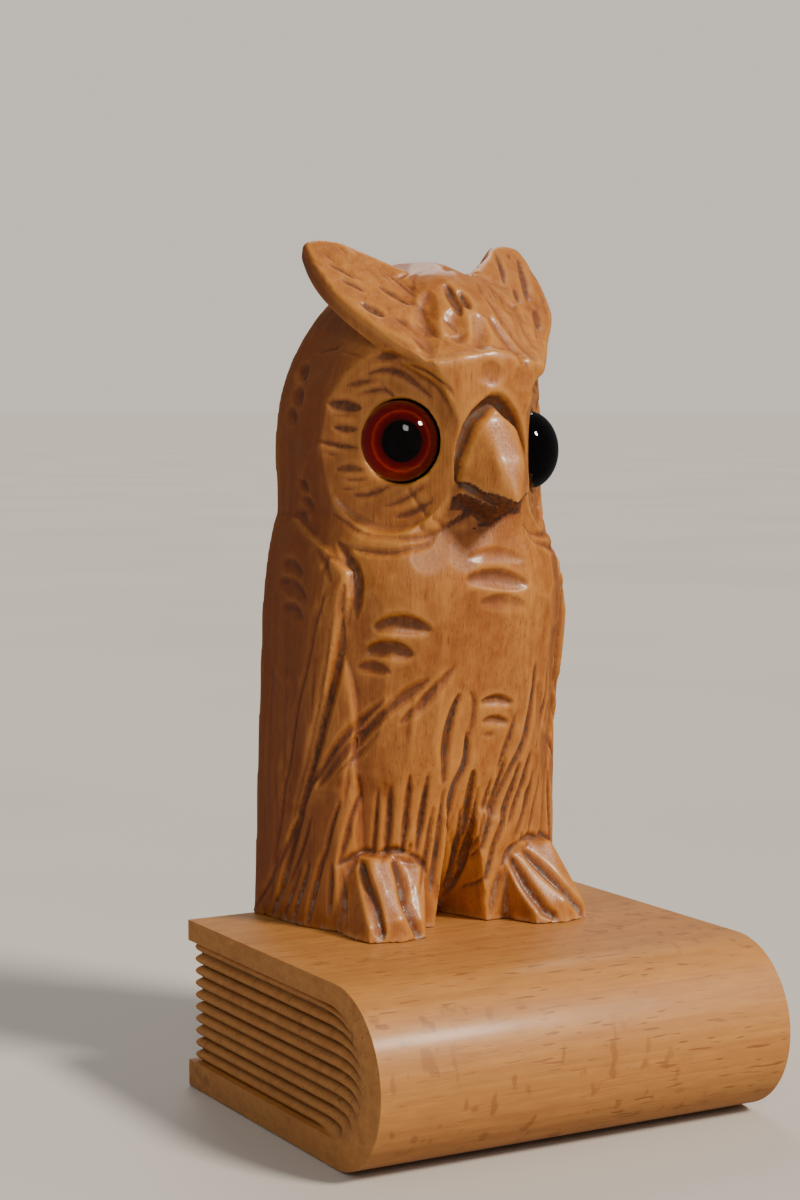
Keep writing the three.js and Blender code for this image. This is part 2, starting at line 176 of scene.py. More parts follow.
class EyeSettings(bpy.types.PropertyGroup):
    iris_red: bpy.props.FloatVectorProperty(
        name="Iris", description="Colour of the enamel iris",
        subtype="COLOR", size=3, default=(0.19, 0.003, 0.003), min=0, max=1,
    )
    # The iris ring's bright amber is partly a painted highlight for the light the glass dome focuses round
    # the pupil
    iris_amber_and_glint: bpy.props.FloatVectorProperty(
        name="Iris ring", description="Colour of the bright ring around the pupil",
        subtype="COLOR", size=3, default=(0.60, 0.035, 0.006), min=0, max=1,
    )
    pupil_share: bpy.props.FloatProperty(
        name="Pupil", description="Width of the pupil as a share of the eye's width",
        default=0.385, min=0.2, max=0.8, subtype="FACTOR",
    )


class StageSettings(bpy.types.PropertyGroup):
    floor: bpy.props.FloatVectorProperty(
        name="Floor", description="Colour of the floor",
        subtype="COLOR", size=3, default=(0.60, 0.56, 0.51), min=0, max=1,
    )
    key_strength: bpy.props.FloatProperty(
        name="Key light", description="Strength of the main light, in front and to the owl's left",
        default=3.9, min=0,
    )
    fill_strength: bpy.props.FloatProperty(
        name="Fill light", description="Strength of the softer light on the owl's right",
        default=0.5, min=0,
    )
    sky: bpy.props.FloatProperty(
        name="Room light", description="Strength of the even light from all round",
        default=0.34, min=0, max=5,
    )
    reflected: bpy.props.FloatProperty(
        name="Reflected room", description="Brightness of the room as polished surfaces reflect it",
        default=0.10, min=0, max=5,
    )
    backdrop: bpy.props.FloatProperty(
        name="Backdrop", description="Brightness of the plain backdrop behind the floor",
        default=0.8, min=0, max=5,
    )


# ---------------------------------------------------------------------------------------------
# Shader maths
# ---------------------------------------------------------------------------------------------


class Value:
    """A node socket that Python's operators act on, so that an expression adds its Math nodes."""

    def __init__(self, recipe, socket):
        self.recipe = recipe
        self.socket = socket

    def math(self, operation, *others):
        return self.recipe.node("ShaderNodeMath", {"operation": operation}, [self, *others])

    def __add__(self, other):
        return self.math("ADD", other)

    def __radd__(self, other):
        return self.math("ADD", other)

    def __sub__(self, other):
        return self.math("SUBTRACT", other)

    def __rsub__(self, other):
        return self.recipe.node("ShaderNodeMath", {"operation": "SUBTRACT"}, [other, self])

    def __mul__(self, other):
        return self.math("MULTIPLY", other)

    def __rmul__(self, other):
        return self.math("MULTIPLY", other)

    def __truediv__(self, other):
        return self.math("DIVIDE", other)

    def clamp(self):
        return self.recipe.node("ShaderNodeClamp", {}, [self, 0.0, 1.0])

    def step(self, low, high):
        """0 below low, 1 above high, and smooth between them."""
        settings = {"interpolation_type": "SMOOTHSTEP"}
        inputs = {"Value": self, "From Min": low, "From Max": high}
        return self.recipe.node("ShaderNodeMapRange", settings, inputs)


class Recipe:
    """A material and its node tree."""

    def __init__(self, name):
        self.material = bpy.data.materials.new(name)
        self.material.use_nodes = True
        self.tree = self.material.node_tree
        self.tree.nodes.clear()

    def node(self, kind, settings=None, inputs=None, output=0):
        """Adds a node, sets it up, fills its sockets with numbers, colours or links, and gives an output."""
        node = self.tree.nodes.new(kind)
        for key, setting in (settings or {}).items():
            if key == "stops":
                self.set_stops(node.color_ramp, setting)
            else:
                setattr(node, key, setting)
        pairs = inputs.items() if isinstance(inputs, dict) else enumerate(inputs or [])
        for key, source in pairs:
            if isinstance(source, Value):
                self.tree.links.new(source.socket, node.inputs[key])
            elif source is not None:
                node.inputs[key].default_value = source
        return Value(self, node.outputs[output])

    def set_stops(self, ramp, stops):
        while len(ramp.elements) > 1:
            ramp.elements.remove(ramp.elements[-1])
        for index, (place, colour) in enumerate(stops):
            element = ramp.elements[0] if index == 0 else ramp.elements.new(place)
            element.position = place
            element.color = (*colour, 1.0)

    def place(self, stretch, shift=(0, 0, 0)):
        """The place on the piece in millimetres, stretched along each axis."""
        coordinates = self.node("ShaderNodeTexCoord", output="Object")
        scale = tuple(1 / MM * axis for axis in stretch)
        return self.node("ShaderNodeMapping", {}, {"Vector": coordinates, "Scale": scale, "Location": shift})

    def noise(self, vector, scale, detail=3.0, roughness=0.55, distortion=0.0):
        inputs = {"Vector": vector, "Scale": scale, "Detail": detail}
        inputs.update({"Roughness": roughness, "Distortion": distortion})
        return self.node("ShaderNodeTexNoise", {}, inputs, "Fac")

    def blend(self, factor, first, second):
        """Mixes two colours."""
        node = self.tree.nodes.new("ShaderNodeMix")
        node.data_type = "RGBA"
        node.blend_type = "MIX"
        node.clamp_factor = True
        sources = zip((node.inputs[0], node.inputs[6], node.inputs[7]), (factor, first, second))
        for socket, source in sources:
            if isinstance(source, Value):
                self.tree.links.new(source.socket, socket)
            elif isinstance(source, (int, float)):
                socket.default_value = source
            else:
                socket.default_value = (*source[:3], 1.0)
        return Value(self, node.outputs[2])

    def attribute(self, name):
        return self.node("ShaderNodeAttribute", {"attribute_name": name}, output="Fac")

    def finish(self, constants, varying, height=None, height_distance=0.0):
        """Ends the tree in a Principled shader."""
        shader = self.tree.nodes.new("ShaderNodeBsdfPrincipled")
        for name, setting in constants.items():
            shader.inputs[name].default_value = setting
        for name, source in varying.items():
            self.tree.links.new(source.socket, shader.inputs[name])
        if height is not None:
            inputs = {"Height": height, "Strength": 1.0, "Distance": height_distance}
            bump = self.node("ShaderNodeBump", {}, inputs)
            self.tree.links.new(bump.socket, shader.inputs["Normal"])
        out = self.tree.nodes.new("ShaderNodeOutputMaterial")
        self.tree.links.new(shader.outputs[0], out.inputs["Surface"])
        return self.material


# ---------------------------------------------------------------------------------------------
# Materials
# ---------------------------------------------------------------------------------------------


def carved_wood(settings):
    """Waxed fruit wood, its grain upright, with dark wax in the cuts, painted shade in the hollows and under
    the beak, and dust in the deepest ones.
    """
    r = Recipe("waxed_carving_wood")
    broad = r.noise(r.place((1, 1, 0.35)), 0.045, 2.0, 0.5, 0.4)
    streak = r.noise(r.place((1, 1, 0.05)), 0.42, 4.0, 0.6, 0.3)
    fibre = r.noise(r.place((1, 1, 0.035)), 2.6, 3.0, 0.65)
    pore = r.noise(r.place((1, 1, 0.11)), 3.4, 1.0, 0.5)
    mottle = r.noise(r.place((1, 1, 0.8)), 0.5, 3.0, 0.6)
    tone = (broad * 0.5 + streak * 0.35 + mottle * 0.25 - 0.12).clamp()
    colour = r.node("ShaderNodeValToRGB", {"stops": [
        (0.14, tuple(settings.dark)), (0.38, tuple(settings.body)), (0.66, tuple(settings.light)),
    ]}, [tone])
    colour = r.blend((fibre.step(0.42, 0.62)) * 0.20, colour, tuple(settings.dark))
    colour = r.blend(pore.step(0.62, 0.74) * 0.38, colour, tuple(settings.dark))
    # Darker on the sideways-facing sides: partly a stain, partly painted shade where they turn away from the
    # light
    side = r.attribute("side")
    colour = r.blend((side * 0.78).clamp(), colour, tuple(settings.dark))
    # Lighter on the crests, less on the shaded sides: polish wear and partly a painted highlight
    crest = r.attribute("crest")
    colour = r.blend((crest * 0.5 * (1 - side * 0.7)).clamp(), colour, tuple(settings.light))
    # Darker in the cuts: dark wax in the cut marks, and painted shade in the hollows and under the beak
    cut = r.attribute("cut")
    colour = r.blend((cut.step(0.05, 1.0) * 0.62), colour, tuple(settings.dark))
    grime = r.noise(r.place((1, 1, 0.6)), 0.9, 4.0, 0.7)
    deep = (cut.step(0.45, 1.25) * (grime.step(0.38, 0.62) * 0.75 + 0.1)).clamp()
    colour = r.blend(deep, colour, tuple(settings.dirt))
    dust = r.attribute("dust")
    flour = (dust * grime.step(0.44, 0.60)).clamp()
    colour = r.blend(flour * 0.7, colour, tuple(settings.dust))
    roughness = 0.30 + fibre * 0.10 + mottle * 0.10 + cut.clamp() * 0.25 + flour * 0.4
    height = fibre * 0.35 + streak * 0.4 + mottle * 0.6 - pore.step(0.62, 0.74) * 0.35
    constants = {"Coat Weight": 0.22, "Coat Roughness": 0.16, "IOR": 1.5}
    return r.finish(constants, {"Base Color": colour, "Roughness": roughness}, height, 0.10 * MM)


def beech(settings, name):
    """Waxed beech with its grain along the book, growth lines, brown ray flecks, darker ends and painted
    shade in the page grooves.
    """
    r = Recipe(name)
    light, dark, fleck = (tuple(colour) for colour in (settings.light, settings.dark, settings.fleck))
    lines = r.noise(r.place((0.02, 1, 1)), 0.62, 4.0, 0.6, 0.3)
    fine = r.noise(r.place((0.04, 1, 1)), 2.4, 3.0, 0.6)
    cloud = r.noise(r.place((0.3, 1, 1)), 0.045, 2.0, 0.5)
    tone = (lines * 0.9 + fine * 0.2 + cloud * 0.6 - 0.36).clamp()
    colour = r.node("ShaderNodeValToRGB", {"stops": [
        (0.14, dark), (0.34, tuple(0.5 * (a + b) for a, b in zip(dark, light))), (0.56, light),
    ]}, [tone])
    patch = r.noise(r.place((0.4, 1, 1)), 0.06, 1.0, 0.5)
    dash = r.noise(r.place((0.22, 1.5, 1.5)), 1.15, 0.0, 0.5)
    dashes = dash.step(0.68, 0.78) * (patch.step(0.40, 0.62) * 0.6 + 0.15)
    colour = r.blend(dashes, colour, fleck)
    spot = r.noise(r.place((0.62, 0.5, 0.34), (40, 8, 3)), 0.7, 1.0, 0.5)
    around = r.noise(r.place((0.25, 1, 1), (7, 3, 20)), 0.05, 1.0, 0.5)
    rays = spot.step(0.60, 0.70) * around.step(0.44, 0.58)
    colour = r.blend(rays * 0.5, colour, fleck)
    wear = r.noise(r.place((1, 1, 1)), 0.12, 3.0, 0.6)
    colour = r.blend(wear.step(0.5, 0.8) * 0.25, colour, light)
    where = r.node("ShaderNodeSeparateXYZ", {}, [r.place((1, 1, 1))], "Y")
    shoulder = 1 - ((where + 22.3) * (where + 22.3) * 1.6 + wear * 0.6).clamp()
    colour = r.blend(shoulder * 0.35, colour, light)
    end = r.attribute("end")
    ring = r.noise(r.place((0.2, 0.35, 1)), 0.9, 4.0, 0.6)
    colour = r.blend(end * (ring * 0.35 + 0.42), colour, tuple(0.42 * channel for channel in dark))
    # Painted shade: the grooves between the page ribs darkened almost to black
    groove = r.attribute("cut")
    colour = r.blend(groove.clamp() * 0.8, colour, tuple(0.12 * channel for channel in dark))
    roughness = 0.34 + fine * 0.1 + wear * 0.12 + groove.clamp() * 0.3 + end * 0.1
    height = lines * 0.6 + fine * 0.5 - dash.step(0.66, 0.74) * 0.3
    constants = {"Coat Weight": 0.16, "Coat Roughness": 0.22, "IOR": 1.5}
    return r.finish(constants, {"Base Color": colour, "Roughness": roughness}, height, 0.06 * MM)


def clear_glass():
    """Clear polished glass with a few faint bubbles and ripples."""
    r = Recipe("clear_eye_glass")
    ripple = r.noise(r.place((1, 1, 1)), 0.22, 2.0, 0.5)
    smear = r.noise(r.place((1, 1, 1)), 0.5, 3.0, 0.6)
    roughness = smear.step(0.55, 0.8) * 0.03 + 0.01
    constants = {"Base Color": (1, 0.97, 0.94, 1), "Transmission Weight": 1.0, "IOR": 1.46}
    return r.finish(constants, {"Roughness": roughness}, ripple, 0.05 * MM)


def iris_enamel(settings, centre, radius):
    """Deep red enamel that turns amber in a ring around the pupil; the ring is painted bright, a painted
    highlight for the light the glass dome focuses there.
    """
    r = Recipe("iris_enamel")
    coordinates = r.node("ShaderNodeTexCoord", output="Object")
    offset = r.node("ShaderNodeVectorMath", {"operation": "SUBTRACT"}, [coordinates, tuple(centre)])
    length = r.node("ShaderNodeVectorMath", {"operation": "LENGTH"}, [offset], "Value")
    streaks = r.noise(r.place((1, 1, 1)), 1.6, 3.0, 0.6)
    share = length / radius + (streaks - 0.5) * 0.06
    red = tuple(settings.iris_red)
    amber = tuple(settings.iris_amber_and_glint)
    # The thin bright amber ring is partly a painted highlight, standing for light the glass dome focuses
    # there
    colour = r.node("ShaderNodeValToRGB", {"stops": [
        (0.0, tuple(0.3 * c for c in red)), (0.42, tuple(0.6 * c for c in red)), (0.50, red),
        (0.545, tuple(0.35 * a + 0.65 * b for a, b in zip(amber, red))),
        (0.565, tuple(0.8 * a for a in amber)),
        (0.585, red), (0.80, tuple(0.7 * c for c in red)), (0.86, (0.004, 0.002, 0.002)),
    ]}, [share.clamp()])
    roughness = streaks * 0.15 + 0.22
    varying = {"Base Color": colour, "Roughness": roughness}
    return r.finish({"Specular IOR Level": 0.0}, varying, streaks, 0.03 * MM)


def dull(name, first, second, scale, rough, metal=0.0, grain=0.05, shine=0.5):
    """A plain dull finish, with two tones, for putty, wire, steel and black enamel."""
    r = Recipe(name)
    mottle = r.noise(r.place((1, 1, 1)), scale, 4.0, 0.65)
    colour = r.blend(mottle.step(0.35, 0.7), first, second)
    roughness = mottle * 0.2 + rough
    constants = {"Metallic": metal, "Specular IOR Level": shine}
    return r.finish(constants, {"Base Color": colour, "Roughness": roughness}, mottle, grain * MM)


# ---------------------------------------------------------------------------------------------
# Modelling helpers
# ---------------------------------------------------------------------------------------------


def deselect_all():
    if bpy.context.object and bpy.context.object.mode != "OBJECT":
        bpy.ops.object.mode_set(mode="OBJECT")
    bpy.ops.object.select_all(action="DESELECT")


def activate(piece):
    deselect_all()
    piece.select_set(True)
    bpy.context.view_layer.objects.active = piece


def select_in_edit(piece, kind, test):
    """Enters edit mode with just the vertices, edges or faces selected that pass the test."""
    activate(piece)
    bpy.ops.object.mode_set(mode="EDIT")
    bpy.ops.mesh.select_mode(type=kind)
    bpy.ops.mesh.select_all(action="DESELECT")
    mesh = bmesh.from_edit_mesh(piece.data)
    parts = {"VERT": mesh.verts, "EDGE": mesh.edges, "FACE": mesh.faces}[kind]
    for part in parts:
        part.select_set(bool(test(part)))
    mesh.select_flush_mode()
    bmesh.update_edit_mesh(piece.data)


def object_mode():
    bpy.ops.object.mode_set(mode="OBJECT")


def apply_modifier(piece, kind, **settings):
    activate(piece)
    modifier = piece.modifiers.new(kind.title(), kind)
    for key, setting in settings.items():
        setattr(modifier, key, setting)
    bpy.ops.object.modifier_apply(modifier=modifier.name)


def set_origin(piece):
    """Puts the piece's place into its mesh, so that its object sits at the origin."""
    activate(piece)
    bpy.ops.object.transform_apply(location=True, rotation=True, scale=True)


def box_piece(name, low, high):
    """A box between two corners, from the cube primitive."""
    deselect_all()
    low, high = Vector(low), Vector(high)
    bpy.ops.mesh.primitive_cube_add(size=1, location=(low + high) / 2)
    piece = bpy.context.object
    piece.name = name
    piece.scale = high - low
    set_origin(piece)
    return piece


def turned_piece(name, profile, steps=64):
    """A turned piece around Z: its profile, as (radius, height) in metres, starts and ends on the axis."""
    deselect_all()
    bpy.ops.mesh.primitive_plane_add(size=1)
    piece = bpy.context.object
    piece.name = name
    select_in_edit(piece, "VERT", lambda vertex: vertex.index != 0)
    bpy.ops.mesh.delete(type="VERT")
    mesh = bmesh.from_edit_mesh(piece.data)
    mesh.verts.ensure_lookup_table()
    mesh.verts[0].co = (profile[0][0], 0, profile[0][1])
    bmesh.update_edit_mesh(piece.data)
    bpy.ops.mesh.select_all(action="SELECT")
    for (radius, height), (next_radius, next_height) in zip(profile, profile[1:]):
        step = (next_radius - radius, 0, next_height - height)
        bpy.ops.mesh.extrude_vertices_move(TRANSFORM_OT_translate={"value": step})
    bpy.ops.mesh.select_all(action="SELECT")
    bpy.ops.mesh.spin(steps=steps, angle=math.tau, center=(0, 0, 0), axis=(0, 0, 1))
    bpy.ops.mesh.select_all(action="SELECT")
    bpy.ops.mesh.remove_doubles(threshold=CAD_WELD)
    bpy.ops.mesh.normals_make_consistent(inside=False)
    object_mode()
    return piece


def smooth_piece(piece, angle=35):
    activate(piece)
    bpy.ops.object.shade_smooth_by_angle(angle=math.radians(angle))


def paint(piece, *materials):
    piece.data.materials.clear()
    for material in materials:
        piece.data.materials.append(material)


def settle(piece, slot, *nodes):
    """Hands a finished piece to the frame."""
    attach(piece, "root")
    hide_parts(*nodes)


def point_attribute(piece, name, values):
    attribute = piece.data.attributes.new(name, "FLOAT", "POINT")
    attribute.data.foreach_set("value", np.asarray(values, np.float32))


def smoothstep(low, high, values):
    share = np.clip((values - low) / (high - low), 0, 1)
    return share * share * (3 - 2 * share)


# ---------------------------------------------------------------------------------------------
# The owl. The carving is drawn in millimetres from the middle of its sawn back, at the book:
# x to the owl's left, y negative to the front, z up. A place on it is a turn around the owl in
# degrees, 0 in front and positive to its right, with a height.
# ---------------------------------------------------------------------------------------------

AXIS_Y = -12.0


class Surface:
    """The owl's surface as arrays, with the tools that sand and cut it."""

    def __init__(self, piece):
        self.piece = piece
        mesh = piece.data
        count = len(mesh.vertices)
        places = np.zeros(count * 3)
        mesh.vertices.foreach_get("co", places)
        self.places = (places.reshape(-1, 3) - np.array(OWL_FOOT)) / MM
        edges = np.zeros(len(mesh.edges) * 2, np.int64)
        mesh.edges.foreach_get("vertices", edges)
        self.edges = edges.reshape(-1, 2)
        self.neighbours = np.bincount(self.edges.ravel(), minlength=count)
        self.cut = np.zeros(count)

    def mean_around(self, values):
        """Each vertex's mean over its neighbours."""
        first, second = self.edges.T
        count = len(self.neighbours)
        columns = values.reshape(count, -1).T
        sums = [np.bincount(first, c[second], count) + np.bincount(second, c[first], count) for c in columns]
        return (np.array(sums) / np.maximum(self.neighbours, 1)).T.reshape(values.shape)

    def store(self):
        mesh = self.piece.data
        mesh.vertices.foreach_set("co", (self.places * MM + np.array(OWL_FOOT)).ravel())
        mesh.update()

    def normals(self):
        self.store()
        normals = np.zeros(len(self.places) * 3)
        self.piece.data.vertices.foreach_get("normal", normals)
        return normals.reshape(-1, 3)

    def held(self):
        """0 on the sawn back and the foot, which stay flat, and 1 everywhere else."""
        back = smoothstep(0.0, 1.2, -self.places[:, 1])
        foot = smoothstep(0.0, 1.2, self.places[:, 2])
        return np.minimum(back, foot)

    def sand(self, rounds, amount=0.5, mask=None):
        weight = self.held() if mask is None else self.held() * mask
        for _ in range(rounds):
            self.places += (self.mean_around(self.places) - self.places) * (amount * weight)[:, None]

    def sand_rim(self, rounds):
        """Evens the edge of the sawn back without lifting the back out of its plane."""
        near = smoothstep(-1.9, -1.0, self.places[:, 1]) * smoothstep(0.6, 1.6, self.places[:, 2])
        for _ in range(rounds):
            step = (self.mean_around(self.places) - self.places) * (0.5 * near)[:, None]
            step[:, 1] = 0
            self.places += step

    def broad_areas(self):
        """1 on the broad surfaces, and 0 near the carved edges."""
        normals = self.normals()
        for _ in range(4):
            normals = self.mean_around(normals)
        bend = 1 - np.linalg.norm(normals, axis=1)
        edge = smoothstep(0.004, 0.014, bend)
        for _ in range(5):
            edge = np.maximum(edge, self.mean_around(edge))
        return 1 - np.clip(edge, 0, 1)

    def tree(self):
        self.store()
        bpy.context.view_layer.update()
        return BVHTree.FromObject(self.piece, bpy.context.evaluated_depsgraph_get())

    def hit(self, tree, origin, direction):
        """Where a line meets the surface, in carving millimetres, with the surface's normal there."""
        start = Vector(origin) * MM + OWL_FOOT
        place, normal, _, _ = tree.ray_cast(start, Vector(direction).normalized())
        if place is None:
            return None
        return np.array((place - OWL_FOOT) / MM), np.array(normal)

    def around(self, tree, turn, height):
        """The place at a turn and a height."""
        angle = math.radians(turn)
        out = Vector((-math.sin(angle), -math.cos(angle), 0))
        origin = Vector((0, AXIS_Y, height)) + out * 80
        return self.hit(tree, origin, -out)

    def cut_strokes(self, strokes, scale, dirty):
        """Cuts a group of strokes at once, so that marks that cross leave a crest between them."""
        depth = np.zeros(len(self.places))
        push = np.zeros_like(self.places)
        normals = self.normals()
        for line, width, deep, shape, taper in strokes:
            if len(line) < 2:
                continue
            points = np.array([place for place, _ in line])
            facing = np.array([normal for _, normal in line]).mean(0)
            facing /= np.linalg.norm(facing)
            reach = width / 2 + 0.4
            low, high = points.min(0) - reach, points.max(0) + reach
            inside = np.all((self.places > low) & (self.places < high), axis=1)
            near = np.nonzero(inside & (normals @ facing > 0.15))[0]
            if not len(near):
                continue
            distance, share, above = along_line(self.places[near], points)
            swell = np.sin(np.pi * np.clip(share, 0.002, 0.998)) ** taper
            across = np.clip(distance / np.maximum(width / 2 * swell, 1e-3), 0, 1)
            found = deep * scale * swell * PROFILES[shape](across, above)
            better = found > depth[near]
            chosen = near[better]
            depth[chosen] = found[better]
            push[chosen] = facing
        self.places -= push * depth[:, None]
        self.cut = np.maximum(self.cut, dirty * depth)

    def shave(self, flats):
        """Takes flat knife facets off the rounded surface, each down to a plane just under it."""
        facing = self.normals()
        for (place, normal), depth, reach in flats:
            offset = self.places - place
            height = offset @ normal + depth
            distance = np.linalg.norm(offset, axis=1)
            skin = smoothstep(2.2 * depth, 1.4 * depth, height)
            weight = smoothstep(reach, reach * 0.75, distance) * skin * (facing @ normal > 0.75)
            self.places -= normal * (np.clip(height, 0, None) * weight)[:, None]


def along_line(places, points):
    """Each place's distance from a line, its share along the line, and whether it is above it."""
    spans = points[1:] - points[:-1]
    lengths = np.linalg.norm(spans, axis=1)
    before = np.concatenate([[0], np.cumsum(lengths)])
    best = np.full(len(places), 1e9)
    share = np.zeros(len(places))
    above = np.zeros(len(places), bool)
    for start, span, length, done in zip(points, spans, lengths, before):
        if length < 1e-6:
            continue
        step = np.clip((places - start) @ span / length**2, 0, 1)
        offset = places - start - step[:, None] * span
        gap = np.linalg.norm(offset, axis=1)
        closer = gap < best
        best[closer] = gap[closer]
        share[closer] = (done + step[closer] * length) / before[-1]
        above[closer] = offset[closer, 2] > 0
    return best, share, above


def chip(across, above):
    """A scoop that is deepest near its upper lip."""
    height = np.where(above, across, -across) - 0.3
    return 1 - np.where(height > 0, height / 0.7, height / 1.3) ** 2


PROFILES = {
    "gouge": lambda across, above: 1 - across**2,
    "scoop": lambda across, above: (1 - across**2) ** 1.5,
    "vee": lambda across, above: 1 - across,
    "chip": chip,
}


def spline(points, count):
    """Points along a smooth curve through the given ones."""
    points = [np.array(p, float) for p in points]
    if len(points) == 2:
        return [points[0] + (points[1] - points[0]) * t for t in np.linspace(0, 1, count)]
    ends = [2 * points[0] - points[1], *points, 2 * points[-1] - points[-2]]
    found = []
    for share in np.linspace(0, len(points) - 1, count):
        i = min(int(share), len(points) - 2)
        t = share - i
        a, b, c, d = ends[i:i + 4]
        square = (2 * a - 5 * b + 4 * c - d) * t**2
        cube = (3 * b - a - 3 * c + d) * t**3
        found.append(0.5 * (2 * b + (c - a) * t + square + cube))
    return found


def mirror(marks):
    """The same marks on the owl's other side."""
    return [([(-turn, height) for turn, height in path], *rest) for path, *rest in marks]


# Each mark is (path as (turn, height), width, depth, shape, taper)
BREAST_MARKS = [
    ([(48, 53.8), (37, 54.6), (25, 53.6)], 4.2, 1.15, "chip", 0.4),
    ([(52, 49.6), (42, 50.2), (32, 49.2)], 4.0, 1.1, "chip", 0.4),
    ([(57, 46.8), (49, 47.0), (41, 46.2)], 2.8, 0.65, "chip", 0.5),
    ([(10, 65.9), (-4, 66.4), (-18, 65.2)], 3.0, 0.35, "chip", 0.6),
    ([(11, 62.4), (-3, 62.2), (-18, 61.0)], 4.2, 0.9, "chip", 0.45),
    ([(5, 58.0), (-6, 58.2), (-17, 57.0)], 3.4, 0.55, "chip", 0.5),
    ([(0, 40.3), (-9, 40.6), (-17, 39.8)], 2.4, 0.85, "chip", 0.35),
    ([(-2, 36.9), (-9, 37.0), (-17, 36.2)], 2.1, 0.65, "chip", 0.35),
    ([(-3, 34.5), (-10, 34.3)], 1.4, 0.3, "chip", 0.5),
]
WING_MARKS = [
    ([(103, 64.0), (95, 63.6), (86, 62.2)], 3.4, 0.55, "chip", 0.5),
    ([(104, 60.8), (93, 60.0), (81, 58.0)], 3.8, 0.6, "chip", 0.5),
    ([(100, 56.0), (91, 56.0), (82, 54.5)], 3.2, 0.45, "chip", 0.5),
]
WING_EDGES = [
    ([(60, 61.0), (63, 50.0), (71, 37.0), (80, 26.0), (89, 15.0), (98, 4.0)], 3.4, 1.2, "vee", 0.2),
    ([(64, 57.0), (69, 46.0), (76, 35.0), (85, 24.0), (94, 12.0)], 1.6, 0.5, "vee", 0.4),
    ([(70, 60.0), (79, 46.9), (86, 37.8), (93, 25.9), (100, 11.0), (103, 3.0)], 1.8, 0.45, "vee", 0.2),
    ([(69, 68.8), (61, 66.0), (56, 63.0), (54.5, 59.8), (56, 55.0)], 3.0, 0.8, "gouge", 0.5),
    ([(79, 67.4), (71, 64.2), (66, 61.2)], 2.4, 0.5, "vee", 0.5),
    ([(95, 50.6), (95, 36.3), (95, 22.0)], 1.4, 0.22, "vee", 0.5),
    ([(106, 50.0), (105, 32.1), (104, 14.0)], 1.8, 0.25, "vee", 0.5),
    ([(100, 30.0), (99, 16.3), (104, 4.9)], 1.3, 0.3, "vee", 0.5),
]
THIGH_MARKS = [
    ([(14, 47.2), (22, 43.3), (31, 39.4), (38, 37.0)], 2.6, 0.65, "chip", 0.4),
    ([(16, 46.6), (25, 41.4), (34, 37.6)], 1.3, 0.35, "vee", 0.5),
    ([(25, 45.2), (37, 41.4), (47, 38.0)], 3.0, 0.6, "gouge", 0.5),
    ([(38, 41.4), (52, 35.9), (66, 29.8), (75, 25.0)], 3.0, 0.85, "chip", 0.45),
    ([(44, 41.4), (57, 36.6), (68, 31.0), (80, 24.4)], 2.4, 0.8, "gouge", 0.5),
    ([(46, 36.0), (57, 31.4), (67, 27.4)], 2.0, 0.45, "vee", 0.5),
    ([(70, 30.6), (77, 26.4), (83, 21.6)], 1.8, 0.5, "vee", 0.5),
]
SHIN_MARKS = [
    ([(56, 25.4), (60, 18.8), (65, 11.0)], 1.7, 0.6, "vee", 0.4),
    ([(48, 26.0), (50, 19.0), (52, 12.8)], 1.5, 0.6, "vee", 0.4),
    ([(42, 26.6), (44, 19.0), (46, 12.8)], 2.0, 0.8, "vee", 0.35),
    ([(33.5, 28.2), (36, 20.0), (38, 13.8)], 1.7, 0.8, "vee", 0.35),
    ([(25, 28.2), (28, 20.8), (31, 13.6)], 1.7, 0.9, "vee", 0.35),
    ([(63, 23.6), (68, 17.6), (72, 11.0)], 1.5, 0.5, "vee", 0.4),
    ([(77, 20.4), (84, 13.6), (91, 7.4)], 1.6, 0.55, "vee", 0.4),
    ([(88, 19.0), (94, 13.2), (100, 8.0)], 1.5, 0.5, "vee", 0.4),
    ([(71, 14.2), (76, 7.3), (80, 0.6)], 1.9, 0.8, "vee", 0.3),
    ([(79, 12.0), (85, 5.3), (89, 0.4)], 1.9, 0.9, "vee", 0.3),
    ([(67.5, 12.2), (68, 7.7), (69, 2.4)], 1.5, 0.7, "vee", 0.35),
    ([(92, 11.0), (98, 5.0), (103, 0.4)], 1.7, 0.8, "vee", 0.3),
    ([(96, 13.4), (105, 5.5), (112, 0.4)], 1.4, 0.5, "vee", 0.4),
    ([(84, 10.6), (90, 5.6), (95, 0.4)], 1.4, 0.6, "vee", 0.4),
    ([(22, 22.4), (25, 14.3), (29, 7.0)], 1.6, 0.7, "vee", 0.35),
    ([(16.5, 25.4), (19, 16.0), (23, 6.0)], 1.9, 0.8, "vee", 0.35),
]
VALLEY_MARKS = [
    ([(11, 42.4), (14, 39.1), (16.5, 34.0), (17, 26.0)], 2.4, 1.3, "vee", 0.35),
    ([(5.5, 35.6), (5, 29.8), (11, 24.0), (13, 14.0)], 2.4, 1.3, "vee", 0.35),
    ([(0, 28.4), (0, 22.5), (-2, 15.0)], 2.6, 1.3, "vee", 0.35),
    ([(4, 21.4), (0, 13.4), (-6, 5.0)], 2.4, 1.2, "vee", 0.35),
    ([(-7, 15.4), (-9, 9.3), (-11, 3.0)], 1.9, 1.0, "vee", 0.35),
    ([(-4, 25.2), (-5, 17.2), (-9, 6.0)], 1.8, 0.9, "vee", 0.4),
    ([(-18, 30.0), (-14, 20.0), (-9, 11.0)], 2.1, 1.1, "vee", 0.35),
    ([(-12, 27.6), (-9, 19.0), (-8, 10.0)], 1.7, 0.8, "vee", 0.4),
    ([(-22, 19.6), (-17, 11.4), (-13, 5.0)], 1.7, 0.9, "vee", 0.4),
    ([(-27, 29.0), (-24, 21.2), (-21, 14.0)], 2.2, 1.0, "vee", 0.35),
    ([(7, 43.2), (3, 40.0), (4, 34.0)], 1.6, 0.6, "vee", 0.5),
]
